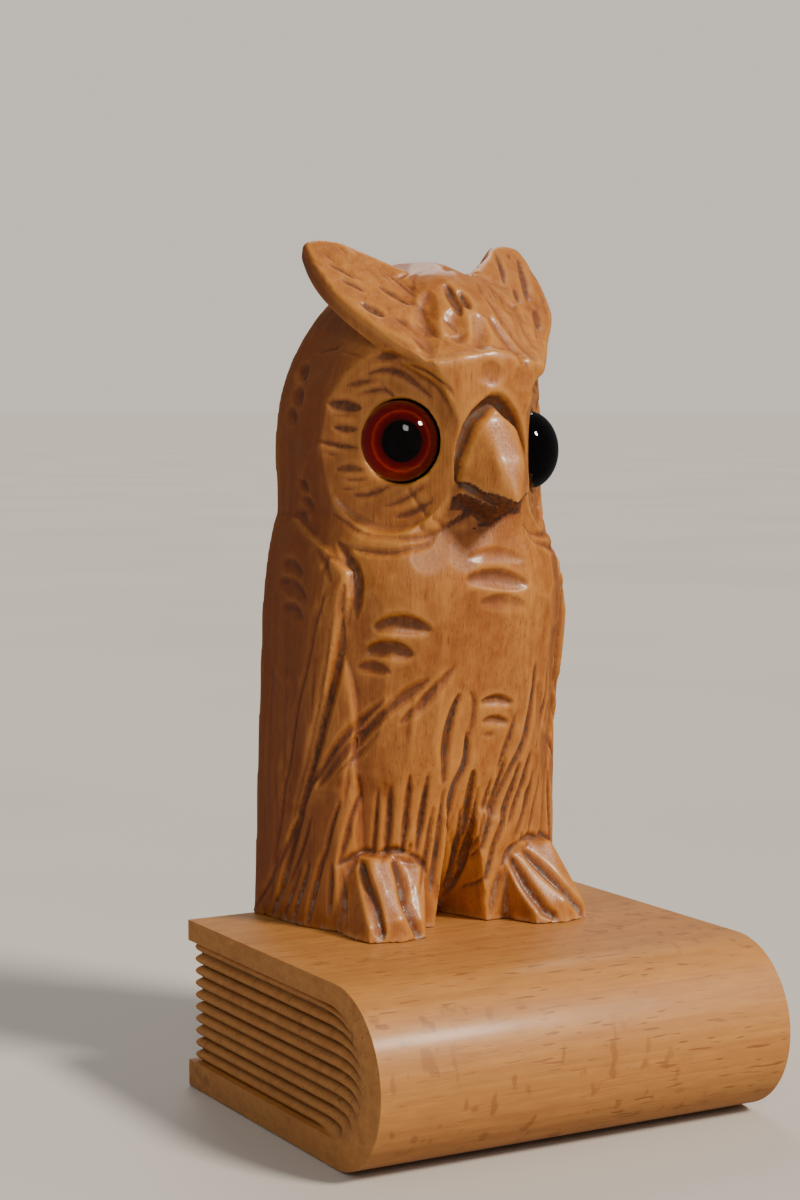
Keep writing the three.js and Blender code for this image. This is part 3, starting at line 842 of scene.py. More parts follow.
LEFT_THIGH_MARKS = [
    ([(-28, 46.8), (-28, 38.3), (-26, 32.0), (-20, 25.0), (-15, 17.0)], 2.3, 1.0, "vee", 0.3),
    ([(-37, 46.8), (-40, 38.7), (-36, 30.8)], 2.1, 0.9, "vee", 0.35),
    ([(-20, 38.6), (-17, 32.2), (-14, 26.4)], 1.6, 0.6, "vee", 0.5),
    ([(-43, 28.6), (-43, 19.4), (-41, 13.4)], 1.6, 0.7, "vee", 0.4),
    ([(-36, 27.2), (-35, 20.0), (-31, 14.0)], 1.7, 0.7, "vee", 0.4),
    ([(-32, 31.0), (-30, 24.0), (-26, 16.6)], 1.8, 0.8, "vee", 0.4),
    ([(-50, 28.0), (-51, 20.0), (-52, 13.0)], 1.6, 0.7, "vee", 0.4),
    ([(-58, 26.0), (-61, 17.0), (-65, 9.0)], 1.6, 0.7, "vee", 0.4),
    ([(-46, 40.0), (-56, 34.0), (-68, 27.0)], 2.6, 0.6, "chip", 0.5),
    ([(-67, 15.4), (-72, 8.0), (-76, 0.6)], 1.7, 0.8, "vee", 0.35),
    ([(-76, 14.0), (-82, 7.0), (-88, 0.6)], 1.7, 0.8, "vee", 0.35),
    ([(-84, 14.0), (-92, 6.0), (-100, 0.6)], 1.7, 0.7, "vee", 0.35),
]
DISC_RAYS = [
    ([(76, 92.6), (67, 92.0), (58, 91.6)], 3.0, 0.75, "gouge", 0.45),
    ([(74, 90.6), (66, 90.4), (59, 90.2)], 1.3, 0.3, "vee", 0.5),
    ([(73, 88.4), (67, 88.0), (60, 88.0)], 1.9, 0.5, "gouge", 0.5),
    ([(80, 86.0), (71, 85.2), (60, 84.7)], 1.5, 0.6, "vee", 0.3),
    ([(78, 84.0), (70, 83.4)], 1.2, 0.25, "vee", 0.5),
    ([(72, 81.0), (64, 81.2), (57, 80.8)], 2.0, 0.45, "gouge", 0.5),
    ([(70, 79.6), (62, 79.2), (54, 79.4)], 1.2, 0.35, "vee", 0.5),
    ([(70, 77.6), (64, 77.6), (56, 78.2)], 1.1, 0.25, "vee", 0.5),
    ([(66, 76.6), (54, 76.8), (41, 78.6)], 1.8, 0.45, "vee", 0.5),
    ([(48, 74.6), (38, 75.6), (26, 78.6)], 1.8, 0.4, "vee", 0.5),
    ([(42, 72.6), (32, 73.8), (23, 76.0)], 1.8, 0.4, "gouge", 0.5),
    ([(58, 97.2), (47, 98.2), (38, 97.5), (30, 95.4), (23, 93.0)], 2.0, 0.6, "vee", 0.45),
    ([(35, 99.2), (27, 97.8), (20, 95.4), (16, 93.0)], 1.6, 0.5, "vee", 0.45),
    ([(61, 94.0), (48, 94.8), (40, 93.5)], 1.7, 0.45, "vee", 0.5),
    ([(54, 99.8), (42, 100.6), (33, 99.6)], 2.4, 0.4, "gouge", 0.5),
    ([(68, 95.4), (59, 96.0), (49, 96.6)], 1.8, 0.35, "gouge", 0.5),
    ([(30, 97.0), (23, 95.4), (18, 92.4)], 1.2, 0.3, "vee", 0.5),
]
HEAD_SIDE_MARKS = [
    ([(112, 98.6), (106, 97.8), (101, 96.2)], 4.4, 0.65, "chip", 0.6),
    ([(108, 94.0), (102, 93.6), (97, 92.2)], 4.0, 0.6, "chip", 0.6),
    ([(111, 90.6), (105, 90.2), (100, 88.8)], 3.4, 0.45, "chip", 0.6),
    ([(100, 79.0), (95, 78.0), (90, 76.6)], 2.4, 0.5, "chip", 0.6),
    ([(97, 75.6), (92, 75.0), (87, 73.6)], 2.4, 0.5, "chip", 0.6),
    ([(104, 72.4), (98, 73.0), (90, 71.6)], 2.4, 0.4, "vee", 0.6),
]
COLLAR_MARKS = [
    ([(68, 68.0), (51, 67.0), (41, 66.8), (34, 67.6), (26, 68.4), (22, 71.0)], 2.0, 0.45, "vee", 0.3),
    ([(74, 73.6), (64, 71.8), (55, 70.0), (39, 69.4), (26, 69.6), (19, 71.6)], 1.8, 0.5, "vee", 0.3),
]
FOREHEAD_MARKS = [
    ([(23, 112.0), (26, 106.6), (26, 99.8)], 5.4, 0.9, "scoop", 0.35),
    ([(10, 109.0), (11.5, 106.0), (12, 102.6)], 5.6, 0.9, "scoop", 0.45),
    ([(-1, 108.0), (1, 105.0), (4.5, 101.6)], 4.6, 0.6, "scoop", 0.4),
    ([(-9, 107.6), (-12, 102.8), (-14, 97.6)], 4.4, 0.7, "scoop", 0.35),
    ([(-19, 111.0), (-20, 106.6), (-20, 99.8)], 5.0, 0.8, "scoop", 0.35),
    ([(-10, 99.0), (-12, 96.8), (-12, 94.8)], 5.4, 0.4, "scoop", 0.6),
    ([(3, 99.8), (2, 97.4), (1, 95.2)], 6.0, 0.45, "scoop", 0.6),
]
FOREHEAD_PITS = [
    ([(9.5, 113.4), (8.5, 110.8), (7.5, 107.4)], 2.6, 1.1, "gouge", 0.5),
    ([(2, 112.2), (2, 110.2), (1, 108.6)], 2.2, 0.9, "gouge", 0.5),
]
RIGHT_TOE_MARKS = [
    ([(55, 12.6), (51, 10.0), (46, 6.3), (42, 1.3), (41, -2)], 3.4, 1.7, "vee", 0.2),
    ([(41, 12.8), (37, 9.7), (34, 5.9), (30, 1.6), (29, -2)], 3.2, 1.6, "vee", 0.2),
    ([(64, 11.3), (62, 6.0), (58, 1.0)], 2.4, 0.6, "vee", 0.4),
]
LEFT_TOE_MARKS = [
    ([(-30, 11.5), (-29, 6.7), (-30, 2.8), (-33, 1.0), (-34, -2)], 3.2, 1.6, "vee", 0.2),
    ([(-38, 12.1), (-39, 7.4), (-41, 4.1), (-44, 1.4), (-45, -2)], 3.2, 1.6, "vee", 0.2),
    ([(-24, 9.0), (-22, 4.6), (-21, 1.0)], 2.4, 0.6, "vee", 0.4),
]
ANKLE_MARKS = [
    ([(66, 11.6), (57, 14.0), (49, 14.4)], 1.8, 0.5, "vee", 0.5),
    ([(50, 14.0), (42, 14.6), (34, 14.0)], 2.0, 0.7, "vee", 0.5),
    ([(36, 14.2), (30, 12.8), (24, 9.6)], 1.7, 0.6, "vee", 0.5),
]
MOUTH_MARKS = [
    ([(15, 78.6), (11, 77.2), (7, 76.0), (2, 74.8)], 2.8, 1.3, "vee", 0.3),
]
BEAK_RECESS = [
    ([(14.6, 79.0), (13.6, 83.0), (11, 87.4), (7.5, 90.2), (3.5, 92.0), (0, 92.9),
      (-3.5, 92.0), (-7.5, 90.2), (-11, 87.4), (-13.6, 83.0), (-14.6, 79.0)], 3.0, 2.3, "gouge", 0.3),
]
MARK_GROUPS = [
    (BREAST_MARKS, 0.25), (WING_MARKS + mirror(WING_MARKS), 0.35), (WING_EDGES + mirror(WING_EDGES), 0.5),
    (THIGH_MARKS, 0.5), (LEFT_THIGH_MARKS, 0.9), (SHIN_MARKS, 0.95), (VALLEY_MARKS, 0.8),
    (DISC_RAYS + mirror(DISC_RAYS), 0.8), (HEAD_SIDE_MARKS + mirror(HEAD_SIDE_MARKS), 0.5),
    (COLLAR_MARKS + mirror(COLLAR_MARKS), 0.5), (BEAK_RECESS, 0.5), (FOREHEAD_MARKS, 0.08),
    (FOREHEAD_PITS, 0.7), (RIGHT_TOE_MARKS + LEFT_TOE_MARKS, 0.5), (ANKLE_MARKS + mirror(ANKLE_MARKS), 1.3),
    (MOUTH_MARKS + mirror(MOUTH_MARKS), 1.0),
]
# Marks on an ear tuft, as (path as (way along it, way across it), width, depth, shape, taper)
TUFT_CORNER = np.array([-11.0, -37.0, 99.3])
TUFT_TIP = np.array([-22.0, -8.5, 120.3])
TUFT_SLOPE = np.array([-6.3, -26.3, 112.3]) - np.array([-18.6, -28.7, 106.9])


def unit(vector):
    return vector / np.linalg.norm(vector)


TUFT_ALONG = unit(TUFT_TIP - TUFT_CORNER)
TUFT_OUT = unit(np.cross(TUFT_SLOPE, TUFT_ALONG))
TUFT_ACROSS = np.cross(TUFT_ALONG, TUFT_OUT).round(3)
TUFT_ALONG = TUFT_ALONG.round(3)
TUFT_OUT = TUFT_OUT.round(3)
RIGHT_TUFT_MARKS = [
    ([(21.5, 5.0), (17.6, 5.8), (14.0, 6.6)], 1.8, 0.6, "vee", 0.4),
    ([(19.4, -0.6), (16.9, 0.0), (14.2, 0.6)], 2.2, 0.6, "gouge", 0.4),
    ([(26.4, 0.4), (23.8, 1.2), (21.2, 2.0)], 1.8, 0.5, "vee", 0.4),
    ([(26.0, 8.2), (20.6, 8.8), (15.1, 8.4)], 1.4, 0.35, "vee", 0.5),
    ([(31.2, 1.0), (27.8, 2.1), (24.4, 2.6)], 1.6, 0.4, "vee", 0.5),
    ([(13.6, 1.8), (11.0, 2.6), (7.9, 2.7)], 1.8, 0.25, "gouge", 0.5),
    ([(25.6, -3.2), (20.8, -3.2), (15.9, -2.8)], 1.4, 0.35, "vee", 0.5),
]
LEFT_TUFT_MARKS = [
    ([(34.0, 4.4), (28.2, 4.1), (22.4, 4.4)], 1.9, 0.7, "vee", 0.4),
    ([(35.0, -0.6), (27.9, -0.5), (19.7, 0.0)], 2.2, 0.8, "vee", 0.35),
    ([(35.6, 1.6), (33.0, 1.2)], 1.4, 0.4, "vee", 0.5),
    ([(22.8, 2.5), (17.5, 2.3)], 1.8, 0.6, "vee", 0.4),
    ([(18.4, -1.2), (14.4, -0.9), (10.6, -0.6)], 2.4, 0.5, "gouge", 0.5),
]


def strokes_around(surface, marks):
    tree = surface.tree()
    strokes = []
    for path, width, depth, shape, taper in marks:
        line = [surface.around(tree, *place) for place in spline(path, 14)]
        strokes.append(([hit for hit in line if hit is not None], width, depth, shape, taper))
    return strokes


def knife_facets(surface, seed):
    """Flat facets in rows all over the body and head, where a flat chisel has gone down them."""
    random = np.random.default_rng(seed)
    tree = surface.tree()
    flats = []
    belly = [(height, turn) for height in np.arange(18, 70, 12.0) for turn in np.arange(-56, 57, 16.0)]
    wings = [
        (height, side * turn)
        for height in np.arange(10, 64, 13.0) for turn in (74, 90, 102) for side in (1, -1)
    ]
    head = [
        (height, side * turn)
        for height in np.arange(76, 104, 8.0) for turn in (90, 101) for side in (1, -1)
    ]
    for rows, depth, reach in ((belly, 0.36, 12), (wings, 0.25, 10), (head, 0.30, 9)):
        for height, turn in rows:
            place = (turn + random.uniform(-4, 4), height + random.uniform(-4, 4))
            hit = surface.around(tree, *place)
            lean = random.normal(0, 0.03, 3)
            if hit is None:
                continue
            flat = (hit[0], unit(hit[1] + lean))
            flats.append((flat, depth * random.uniform(0.6, 1.25), reach))
    for x in np.arange(-9, 10, 6):
        for y in np.arange(-31, -5, 6):
            start = (x + random.uniform(-2, 2), y + random.uniform(-2, 2), 140)
            hit = surface.hit(tree, start, (0, 0, -1))
            if hit is not None and hit[1][2] > 0.5:
                flats.append((hit, 0.22 * random.uniform(0.7, 1.3), 8))
    return flats


def tuft_marks(surface, side, marks, seed):
    """The marks on one ear tuft, and the fine grooves that run along it as its feathers do."""
    random = np.random.default_rng(seed)
    tree = surface.tree()
    fine = []
    for row in range(8):
        for column in range(4):
            start = 5 + column * 8 + random.uniform(-2, 2)
            across = -3.4 + row * 1.8 + random.uniform(-0.7, 0.7)
            end = (start + random.uniform(4, 9), across + random.uniform(-0.8, 0.8))
            width = random.uniform(0.8, 1.5)
            depth = random.uniform(0.1, 0.3)
            fine.append(([(start, across), end], width, depth, "vee", 0.7))
    flip = np.array([side, 1, 1])
    strokes = []
    for path, width, depth, shape, taper in marks + fine:
        line = []
        for along, across in spline(path, 10):
            point = (TUFT_CORNER + TUFT_ALONG * along + TUFT_ACROSS * across) * flip
            line.append(surface.hit(tree, point + TUFT_OUT * flip * 12, -TUFT_OUT * flip))
        line = [hit for hit in line if hit is not None and hit[1] @ (TUFT_OUT * flip) > 0.5]
        strokes.append((line, width, depth, shape, taper))
    return strokes


def relief(surface):
    """How far each place stands above (positive) or below (negative) what is around it."""
    smooth = surface.places.copy()
    for _ in range(10):
        smooth = surface.mean_around(smooth)
    return np.einsum("ij,ij->i", surface.places - smooth, surface.normals()) / 0.12


def adjust(surface):
    """Moves what a solid of straight cuts can't have: a fuller left tuft and a blunter right one."""
    x, _, z = surface.places.T
    left = smoothstep(4, 13, x) * smoothstep(102, 109, z)
    right = smoothstep(-14, -22, x) * smoothstep(110, 118, z)
    surface.places[:, 0] += 1.7 * left + 0.8 * right


def carve(piece, settings):
    surface = Surface(piece)
    surface.sand(settings.soften)
    surface.sand(settings.fair, 0.5, surface.broad_areas())
    adjust(surface)
    x, y, z = surface.places.T
    beak = smoothstep(-37.6, -39.5, y) * smoothstep(72, 76, z) * smoothstep(94, 91, z)
    surface.sand(7, 0.5, beak)
    legs = smoothstep(10, 6, np.abs(x + 1)) * smoothstep(45, 40, z) * smoothstep(1, 4, z)
    surface.sand(14, 0.5, legs * np.maximum(smoothstep(14, 18, z), smoothstep(-26, -22, y)))
    brow = smoothstep(104.5, 101, z) * smoothstep(93, 96, z) * smoothstep(11, 8, np.abs(x)) * (y < -33)
    surface.sand(36, 0.5, brow)
    surface.shave(knife_facets(surface, FACET_SEED))
    surface.sand(8, 0.5, smoothstep(-9, -5, y))
    surface.sand_rim(20)
    surface.sand(1, 0.4)
    for marks, dirty in MARK_GROUPS:
        surface.cut_strokes(strokes_around(surface, marks), settings.cut_depth, dirty)
    tufts = ((1, RIGHT_TUFT_MARKS, RIGHT_TUFT_SEED), (-1, LEFT_TUFT_MARKS, LEFT_TUFT_SEED))
    for side, marks, seed in tufts:
        surface.cut_strokes(tuft_marks(surface, side, marks, seed), settings.cut_depth, 1.1)
    surface.sand(1, 0.3)
    surface.store()
    rise = relief(surface)
    x, y, z = surface.places.T
    normals = surface.normals()
    hollow = np.clip(-rise - 0.35, 0, 1)
    low = smoothstep(15, 1, z) * smoothstep(-4, -9, y)
    dust = low * np.maximum(np.clip(hollow * 0.9 - 0.15, 0, 0.7), smoothstep(1.1, 0.2, z) * 0.7)
    dust = np.maximum(dust, smoothstep(0.45, 1.1, surface.cut) * 0.3)
    # Sideways-facing surfaces behind the front, darkened partly as a stain and partly as painted shade
    side = smoothstep(0.55, 0.95, np.abs(normals[:, 0])) * smoothstep(-26, -14, y)
    # Painted shade under the beak: the mouth lies in the beak's shadow, so it is given the dark, wax and
    # side colours
    mouth_shade = smoothstep(7.4, 6.6, np.abs(x)) * (z > 70.8) * (z < 79) * (normals[:, 2] < -0.25) * (y < -34)
    # Cut colour: wax in the cut marks, plus painted shade in every hollow and under the beak
    point_attribute(piece, "cut", np.maximum(surface.cut + np.clip(-rise - 0.35, 0, 0.6), mouth_shade * 1.6))
    # Crests: polish wear and partly a painted highlight
    point_attribute(piece, "crest", np.clip(rise - 0.25, 0, 1))
    point_attribute(piece, "dust", dust)
    # The side colour carries the sides' stain and painted shade, and the painted shade under the beak
    point_attribute(piece, "side", np.maximum(side, mouth_shade))


def hull_piece(name, points):
    """A solid with straight cuts, wrapped around points given in carving millimetres."""
    mesh = bpy.data.meshes.new(name)
    mesh.from_pydata([Vector(point) * MM + OWL_FOOT for point in points], [], [])
    piece = bpy.data.objects.new(name, mesh)
    bpy.context.scene.collection.objects.link(piece)
    select_in_edit(piece, "VERT", lambda vertex: True)
    bpy.ops.mesh.convex_hull()
    bpy.ops.mesh.normals_make_consistent(inside=False)
    object_mode()
    return piece


def both_signs(points):
    return [(sign * x, y, z) for x, y, z in points for sign in (1, -1)]


FOREHEAD = both_signs([
    (11.4, -36.6, 99.6), (9.6, -37.0, 96.2), (7.4, -37.7, 92.6), (6.2, -37.4, 88.0), (0, -38.8, 102.0),
    (0, -39.4, 95.0), (0, -38.8, 90.0), (6.0, -38.4, 101.0), (8, -31, 97.5), (5, -31, 88), (0, -31, 101),
])
UNDER_WING = [
    (27.4, -4, 0), (25.6, -16, 0), (22.8, -22, 0), (26.8, -9, 12), (23.6, -17, 12), (20.2, -24, 12),
    (25.8, -13.5, 24), (23.0, -18, 24), (19.4, -24, 24), (25.1, -17.0, 34), (22.3, -21, 34), (19.6, -25, 34),
    (24.2, -20.0, 42), (20.4, -25.4, 42), (21.6, -24.2, 58), (18.5, -26.0, 58), (12, -4, 0), (12, -6, 42),
    (12, -22, 0), (12, -24, 58),
]
FOOT = [
    (8, -24, 12.4), (8.4, -28, 12), (18.4, -27.6, 13.6), (19.4, -22, 13.4), (9.4, -14, 0.1), (9.8, -30, 0.1),
    (11.6, -34.4, 0.1), (16.8, -35.6, 0.1), (22.2, -33.8, 0.1), (23.2, -28, 0.1), (21.2, -14, 0.1),
    (11.8, -34.2, 3), (16.8, -35, 4), (22, -33.4, 3),
]
VALLEY_FLOOR = [
    (sign * 9, y, z) for sign in (1, -1)
    for y, z in ((-15, 0), (-22.5, 8), (-28, 17), (-32.6, 30), (-35, 44), (-8, 0.2), (-24, 44))
]


class OWL_OT_carve_body(bpy.types.Operator):
    """Carves the owl: copies its solid, gives it a fine skin, sands it and cuts every gouge mark"""

    bl_idname = "owl.carve_body"
    bl_label = "Carve the Owl"

    def execute(self, context):
        settings = context.scene.owl_wood
        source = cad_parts["owl_body"]
        piece = bpy.data.objects.new("owl_carving", source.data.copy())
        context.scene.collection.objects.link(piece)
        select_in_edit(piece, "VERT", lambda vertex: True)
        bpy.ops.mesh.remove_doubles(threshold=CAD_WELD)
        object_mode()
        fillers = [hull_piece("forehead", FOREHEAD), hull_piece("valley_floor", VALLEY_FLOOR)]
        for name, points in (("under_wing", UNDER_WING), ("foot", FOOT)):
            for sign in (1, -1):
                fillers.append(hull_piece(name, [(sign * x, y, z) for x, y, z in points]))
        activate(piece)
        for filler in fillers:
            filler.select_set(True)
        bpy.ops.object.join()
        apply_modifier(piece, "REMESH", mode="VOXEL", voxel_size=settings.voxel)
        carve(piece, settings)
        faces = sum(len(polygon.vertices) - 2 for polygon in piece.data.polygons)
        if faces > settings.triangles:
            apply_modifier(piece, "DECIMATE", ratio=settings.triangles / faces)
        smooth_piece(piece, 60)
        paint(piece, carved_wood(settings))
        settle(piece, "carved_wood", "owl_body")
        return {"FINISHED"}


# ---------------------------------------------------------------------------------------------
# The book
# ---------------------------------------------------------------------------------------------


def round_spine(name, low, high, steps):
    """A block whose front is a half round: a box with its two long front edges bevelled."""
    piece = box_piece(name, low, high)
    front = low[1]
    select_in_edit(piece, "EDGE", lambda edge: all(abs(v.co.y - front) < 0.01 * MM for v in edge.verts)
                   and abs(edge.verts[0].co.x - edge.verts[1].co.x) > MM)
    radius = (high[2] - low[2]) / 2
    bpy.ops.mesh.bevel(offset=radius * 0.9999, segments=steps, profile=0.5, affect="EDGES")
    object_mode()
    select_in_edit(piece, "VERT", lambda vertex: True)
    bpy.ops.mesh.remove_doubles(threshold=0.02 * MM)
    object_mode()
    return piece


def page_block(settings):
    """The ribbed pages: a strip folded round three sides, its grooves fading out towards the spine."""
    low_z = BOOK_LOW.z + settings.bottom_cover
    high_z = BOOK_HIGH.z - settings.top_cover
    side = BOOK_HIGH.x - settings.recess
    back = BOOK_HIGH.y - settings.recess
    front = BOOK_LOW.y + 0.6 * settings.spine_wall
    arc = (high_z - low_z) / 2
    arc_y = BOOK_LOW.y + settings.spine_wall + arc
    pitch = (high_z - low_z) / settings.ribs
    hidden = 0.4 * MM
    flush = settings.recess - 0.03 * MM
    deselect_all()
    bpy.ops.mesh.primitive_grid_add(x_subdivisions=250, y_subdivisions=settings.ribs * 10, size=2)
    piece = bpy.context.object
    piece.name = "book_pages"
    run = back - front
    total = 2 * run + 2 * side
    mesh = piece.data
    groove_shade = np.zeros(len(mesh.vertices))
    sides = np.zeros(len(mesh.vertices))
    for vertex in mesh.vertices:
        distance = total * (vertex.co.x + 1) / 2
        height = low_z - hidden + (high_z - low_z + 2 * hidden) * (vertex.co.y + 1) / 2
        level = min(abs(height - (low_z + arc)), arc)
        rim = arc_y - math.sqrt(arc * arc - level * level)
        start = rim - 2 * MM
        on_back = run <= distance <= run + 2 * side
        share = min(distance, total - distance) / run
        along = start + share * (back - start)
        fade = 1.0 if on_back else smooth_share((along - rim) / (7 * MM))
        bend = 0 if on_back else (1 - smooth_share((along - rim) / (15 * MM))) ** 2 * 1.6 * MM
        phase = ((height + bend - low_z) / pitch) % 1
        groove = 1 - abs(math.sin(math.pi * phase)) ** 0.8
        shift = (1 - fade) * flush - settings.rib_depth * groove * fade
        if on_back:
            vertex.co = ((side + shift) * (1 - (distance - run) / side), back + shift, height)
        else:
            hand = 1 if distance < run else -1
            vertex.co = (hand * (side + shift), start + share * (back + shift - start), height)
        # Painted shade mask: how dark each groove between the ribs is painted
        groove_shade[vertex.index] = groove**1.5 * fade
        sides[vertex.index] = 0 if on_back else 1
    mesh.update()
    point_attribute(piece, "cut", groove_shade)
    point_attribute(piece, "end", sides)
    middle = min(mesh.polygons, key=lambda face: (face.center - Vector((0, back, low_z + arc))).length)
    if middle.normal.y < 0:
        select_in_edit(piece, "FACE", lambda face: True)
        bpy.ops.mesh.flip_normals()
        object_mode()
    apply_modifier(piece, "SOLIDIFY", thickness=2.5 * MM, offset=-1)
    return piece


def smooth_share(value):
    value = min(max(value, 0.0), 1.0)
    return value * value * (3 - 2 * value)


def book_covers(settings):
    """The two covers and the spine, cut in one from a round-fronted block."""
    low, high = BOOK_LOW, BOOK_HIGH
    covers = round_spine("book_covers", low, high, 48)
    wall = settings.spine_wall
    opening = round_spine(
        "opening",
        (low.x - 5 * MM, low.y + wall, low.z + settings.bottom_cover),
        (high.x + 5 * MM, high.y + 5 * MM, high.z - settings.top_cover),
        32,
    )
    apply_modifier(covers, "BOOLEAN", object=opening, operation="DIFFERENCE", solver="EXACT")
    bpy.data.objects.remove(opening)
    select_in_edit(covers, "VERT", lambda vertex: True)
    bpy.ops.mesh.remove_doubles(threshold=0.01 * MM)
    object_mode()
    for screw in ("owl_screw_1", "owl_screw_2"):
        drill_for(covers, screw)
    wear_edges(covers, settings)
    apply_modifier(covers, "BEVEL", width=settings.edge_round, segments=4, limit_method="WEIGHT")
    places = np.zeros(len(covers.data.vertices) * 3)
    covers.data.vertices.foreach_get("co", places)
    across = np.abs(places.reshape(-1, 3)[:, 0])
    point_attribute(covers, "end", across > BOOK_HIGH.x - 0.4 * settings.edge_round)
    return covers


def wear_edges(covers, settings):
    """Marks how far each sharp edge is worn: fully outside, a little over the pages, not at the rim."""
    mesh = covers.data
    facing = {}
    for face in mesh.polygons:
        for key in face.edge_keys:
            facing.setdefault(key, []).append(face.normal)
    page_low = BOOK_LOW.z + settings.bottom_cover - 0.05 * MM
    page_high = BOOK_HIGH.z - settings.top_cover + 0.05 * MM
    arc_end = BOOK_LOW.y + settings.spine_wall + (page_high - page_low) / 2
    weights = np.zeros(len(mesh.edges))
    for edge in mesh.edges:
        normals = facing.get(tuple(sorted(edge.vertices)), [])
        ends = [mesh.vertices[index].co for index in edge.vertices]
        if len(normals) != 2 or normals[0].angle(normals[1], 0) < math.radians(40):
            continue
        if all(end.z < 9 * MM and abs(end.x) < 30 * MM for end in ends):
            weights[edge.index] = 0.25
        elif all(page_low <= end.z <= page_high and end.y > BOOK_LOW.y + 4 * MM for end in ends):
            weights[edge.index] = 0.3 if min(end.y for end in ends) > arc_end - 0.2 * MM else 0
        else:
            weights[edge.index] = 1
    attribute = mesh.attributes.new("bevel_weight_edge", "FLOAT", "EDGE")
    attribute.data.foreach_set("value", weights.astype(np.float32))


def drill_for(piece, screw):
    """Cuts the sunk hole under a screw's head."""
    low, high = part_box(screw)
    middle = (low + high) / 2
    radius = (high.x - low.x) / 2 + 0.3 * MM
    deselect_all()
    depth = low.z + 2 * MM
    place = (middle.x, middle.y, (low.z - 2 * MM) / 2 + 1 * MM)
    bpy.ops.mesh.primitive_cylinder_add(vertices=48, radius=radius, depth=depth, location=place)
    cutter = bpy.context.object
    set_origin(cutter)
    apply_modifier(piece, "BOOLEAN", object=cutter, operation="DIFFERENCE", solver="EXACT")
    bpy.data.objects.remove(cutter)


class OWL_OT_make_book(bpy.types.Operator):
    """Makes the base: a block of beech cut as a closed book, with ribbed page edges"""

    bl_idname = "owl.make_book"
    bl_label = "Make the Book"

    def execute(self, context):
        settings = context.scene.owl_book
        covers = book_covers(settings)
        smooth_piece(covers, 30)
        paint(covers, beech(settings, "waxed_beech"))
        settle(covers, "beech", "book_plinth")
        pages = page_block(settings)
        smooth_piece(pages, 50)
        paint(pages, covers.data.materials[0])
        settle(pages, "beech", "book_plinth")
        return {"FINISHED"}


# ---------------------------------------------------------------------------------------------
# The eyes
# ---------------------------------------------------------------------------------------------


def node_places(node):
    places = np.zeros(len(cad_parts[node].data.vertices) * 3)
    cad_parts[node].data.vertices.foreach_get("co", places)
    return places.reshape(-1, 3)


def eye_pose(side):
    """The matrix that takes an eye made around Z, front up, to its place, with z = 0 at the glass's back."""
    ring = node_places(f"eye_iris_{side}")
    middle = (ring.max(0) + ring.min(0)) / 2
    axis = np.linalg.svd(ring - ring.mean(0))[2][2]
    axis = axis if axis[1] < 0 else -axis
    glass = (node_places(f"eye_glass_{side}") - middle) @ axis
    origin = Vector(middle + axis * glass.min())
    turn = Vector((0, 0, 1)).rotation_difference(Vector(axis))
    rise = glass.max() - glass.min()
    return Matrix.Translation(origin) @ turn.to_matrix().to_4x4(), rise


def eye_radius(side):
    low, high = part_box(f"eye_glass_{side}")
    return (high.z - low.z) / 2


def place_mesh(piece, matrix):
    piece.data.transform(matrix)
    piece.data.update()


class OWL_OT_make_eyes(bpy.types.Operator):
    """Makes both glass eyes: the clear dome, the red enamel iris behind it and the black pupil"""

    bl_idname = "owl.make_eyes"
    bl_label = "Make the Eyes"

    def execute(self, context):
        settings = context.scene.owl_eyes
        glass = clear_glass()
        black = dull("pupil_enamel", (0.003, 0.002, 0.002), (0.008, 0.005, 0.004), 0.6, 0.12, 0.0, 0.01, 0.0)
        for side in ("right", "left"):
            matrix, rise = eye_pose(side)
            radius = eye_radius(side)
            self.make_dome(side, matrix, rise, radius, glass)
            self.make_iris(side, matrix, radius, settings)
            self.make_pupil(side, matrix, radius, settings, black)
        return {"FINISHED"}

    def make_dome(self, side, matrix, rise, radius, glass):
        seat = 1.4 * MM
        edge = 0.25 * MM
        profile = [(0, 0), (radius - edge, 0), (radius, edge), (radius, seat)]
        steps = 26
        for step in range(1, steps + 1):
            angle = math.pi / 2 * step / steps
            wide = 0 if step == steps else radius * math.cos(angle)
            profile.append((wide, seat + (rise - seat) * math.sin(angle)))
        dome = turned_piece(f"glass_dome_{side}", profile, 72)
        place_mesh(dome, matrix)
        smooth_piece(dome, 40)
        paint(dome, glass)
        settle(dome, "clear_glass", f"eye_glass_{side}")

    def make_iris(self, side, matrix, radius, settings):
        rise = 0.12 * MM
        thick = 0.6 * MM
        outer = radius - 0.1 * MM
        bowl = 0.5 * MM
        rim = radius + 0.02 * MM
        profile = [(0, rise), (outer * 0.45, rise), (outer * 0.8, rise + bowl * 0.4)]
        profile += [(outer * 0.94, rise + bowl), (outer, 1.35 * MM), (rim, 1.3 * MM)]
        profile += [(rim, -thick), (0, -thick)]
        iris = turned_piece(f"iris_{side}", profile, 72)
        place_mesh(iris, matrix)
        centre = matrix @ Vector((0, 0, rise))
        paint(iris, iris_enamel(settings, centre, outer))
        smooth_piece(iris, 30)
        settle(iris, "iris_enamel", f"eye_iris_{side}")

    def make_pupil(self, side, matrix, radius, settings, black):
        wide = radius * settings.pupil_share
        top = 0.2 * MM
        profile = [(0, top), (wide * 0.96, top), (wide, top - 0.06 * MM), (wide, 0), (0, 0)]
        pupil = turned_piece(f"pupil_{side}", profile, 64)
        place_mesh(pupil, matrix)
        paint(pupil, black)
        smooth_piece(pupil, 30)
        settle(pupil, "pupil_enamel", f"eye_pupil_{side}")


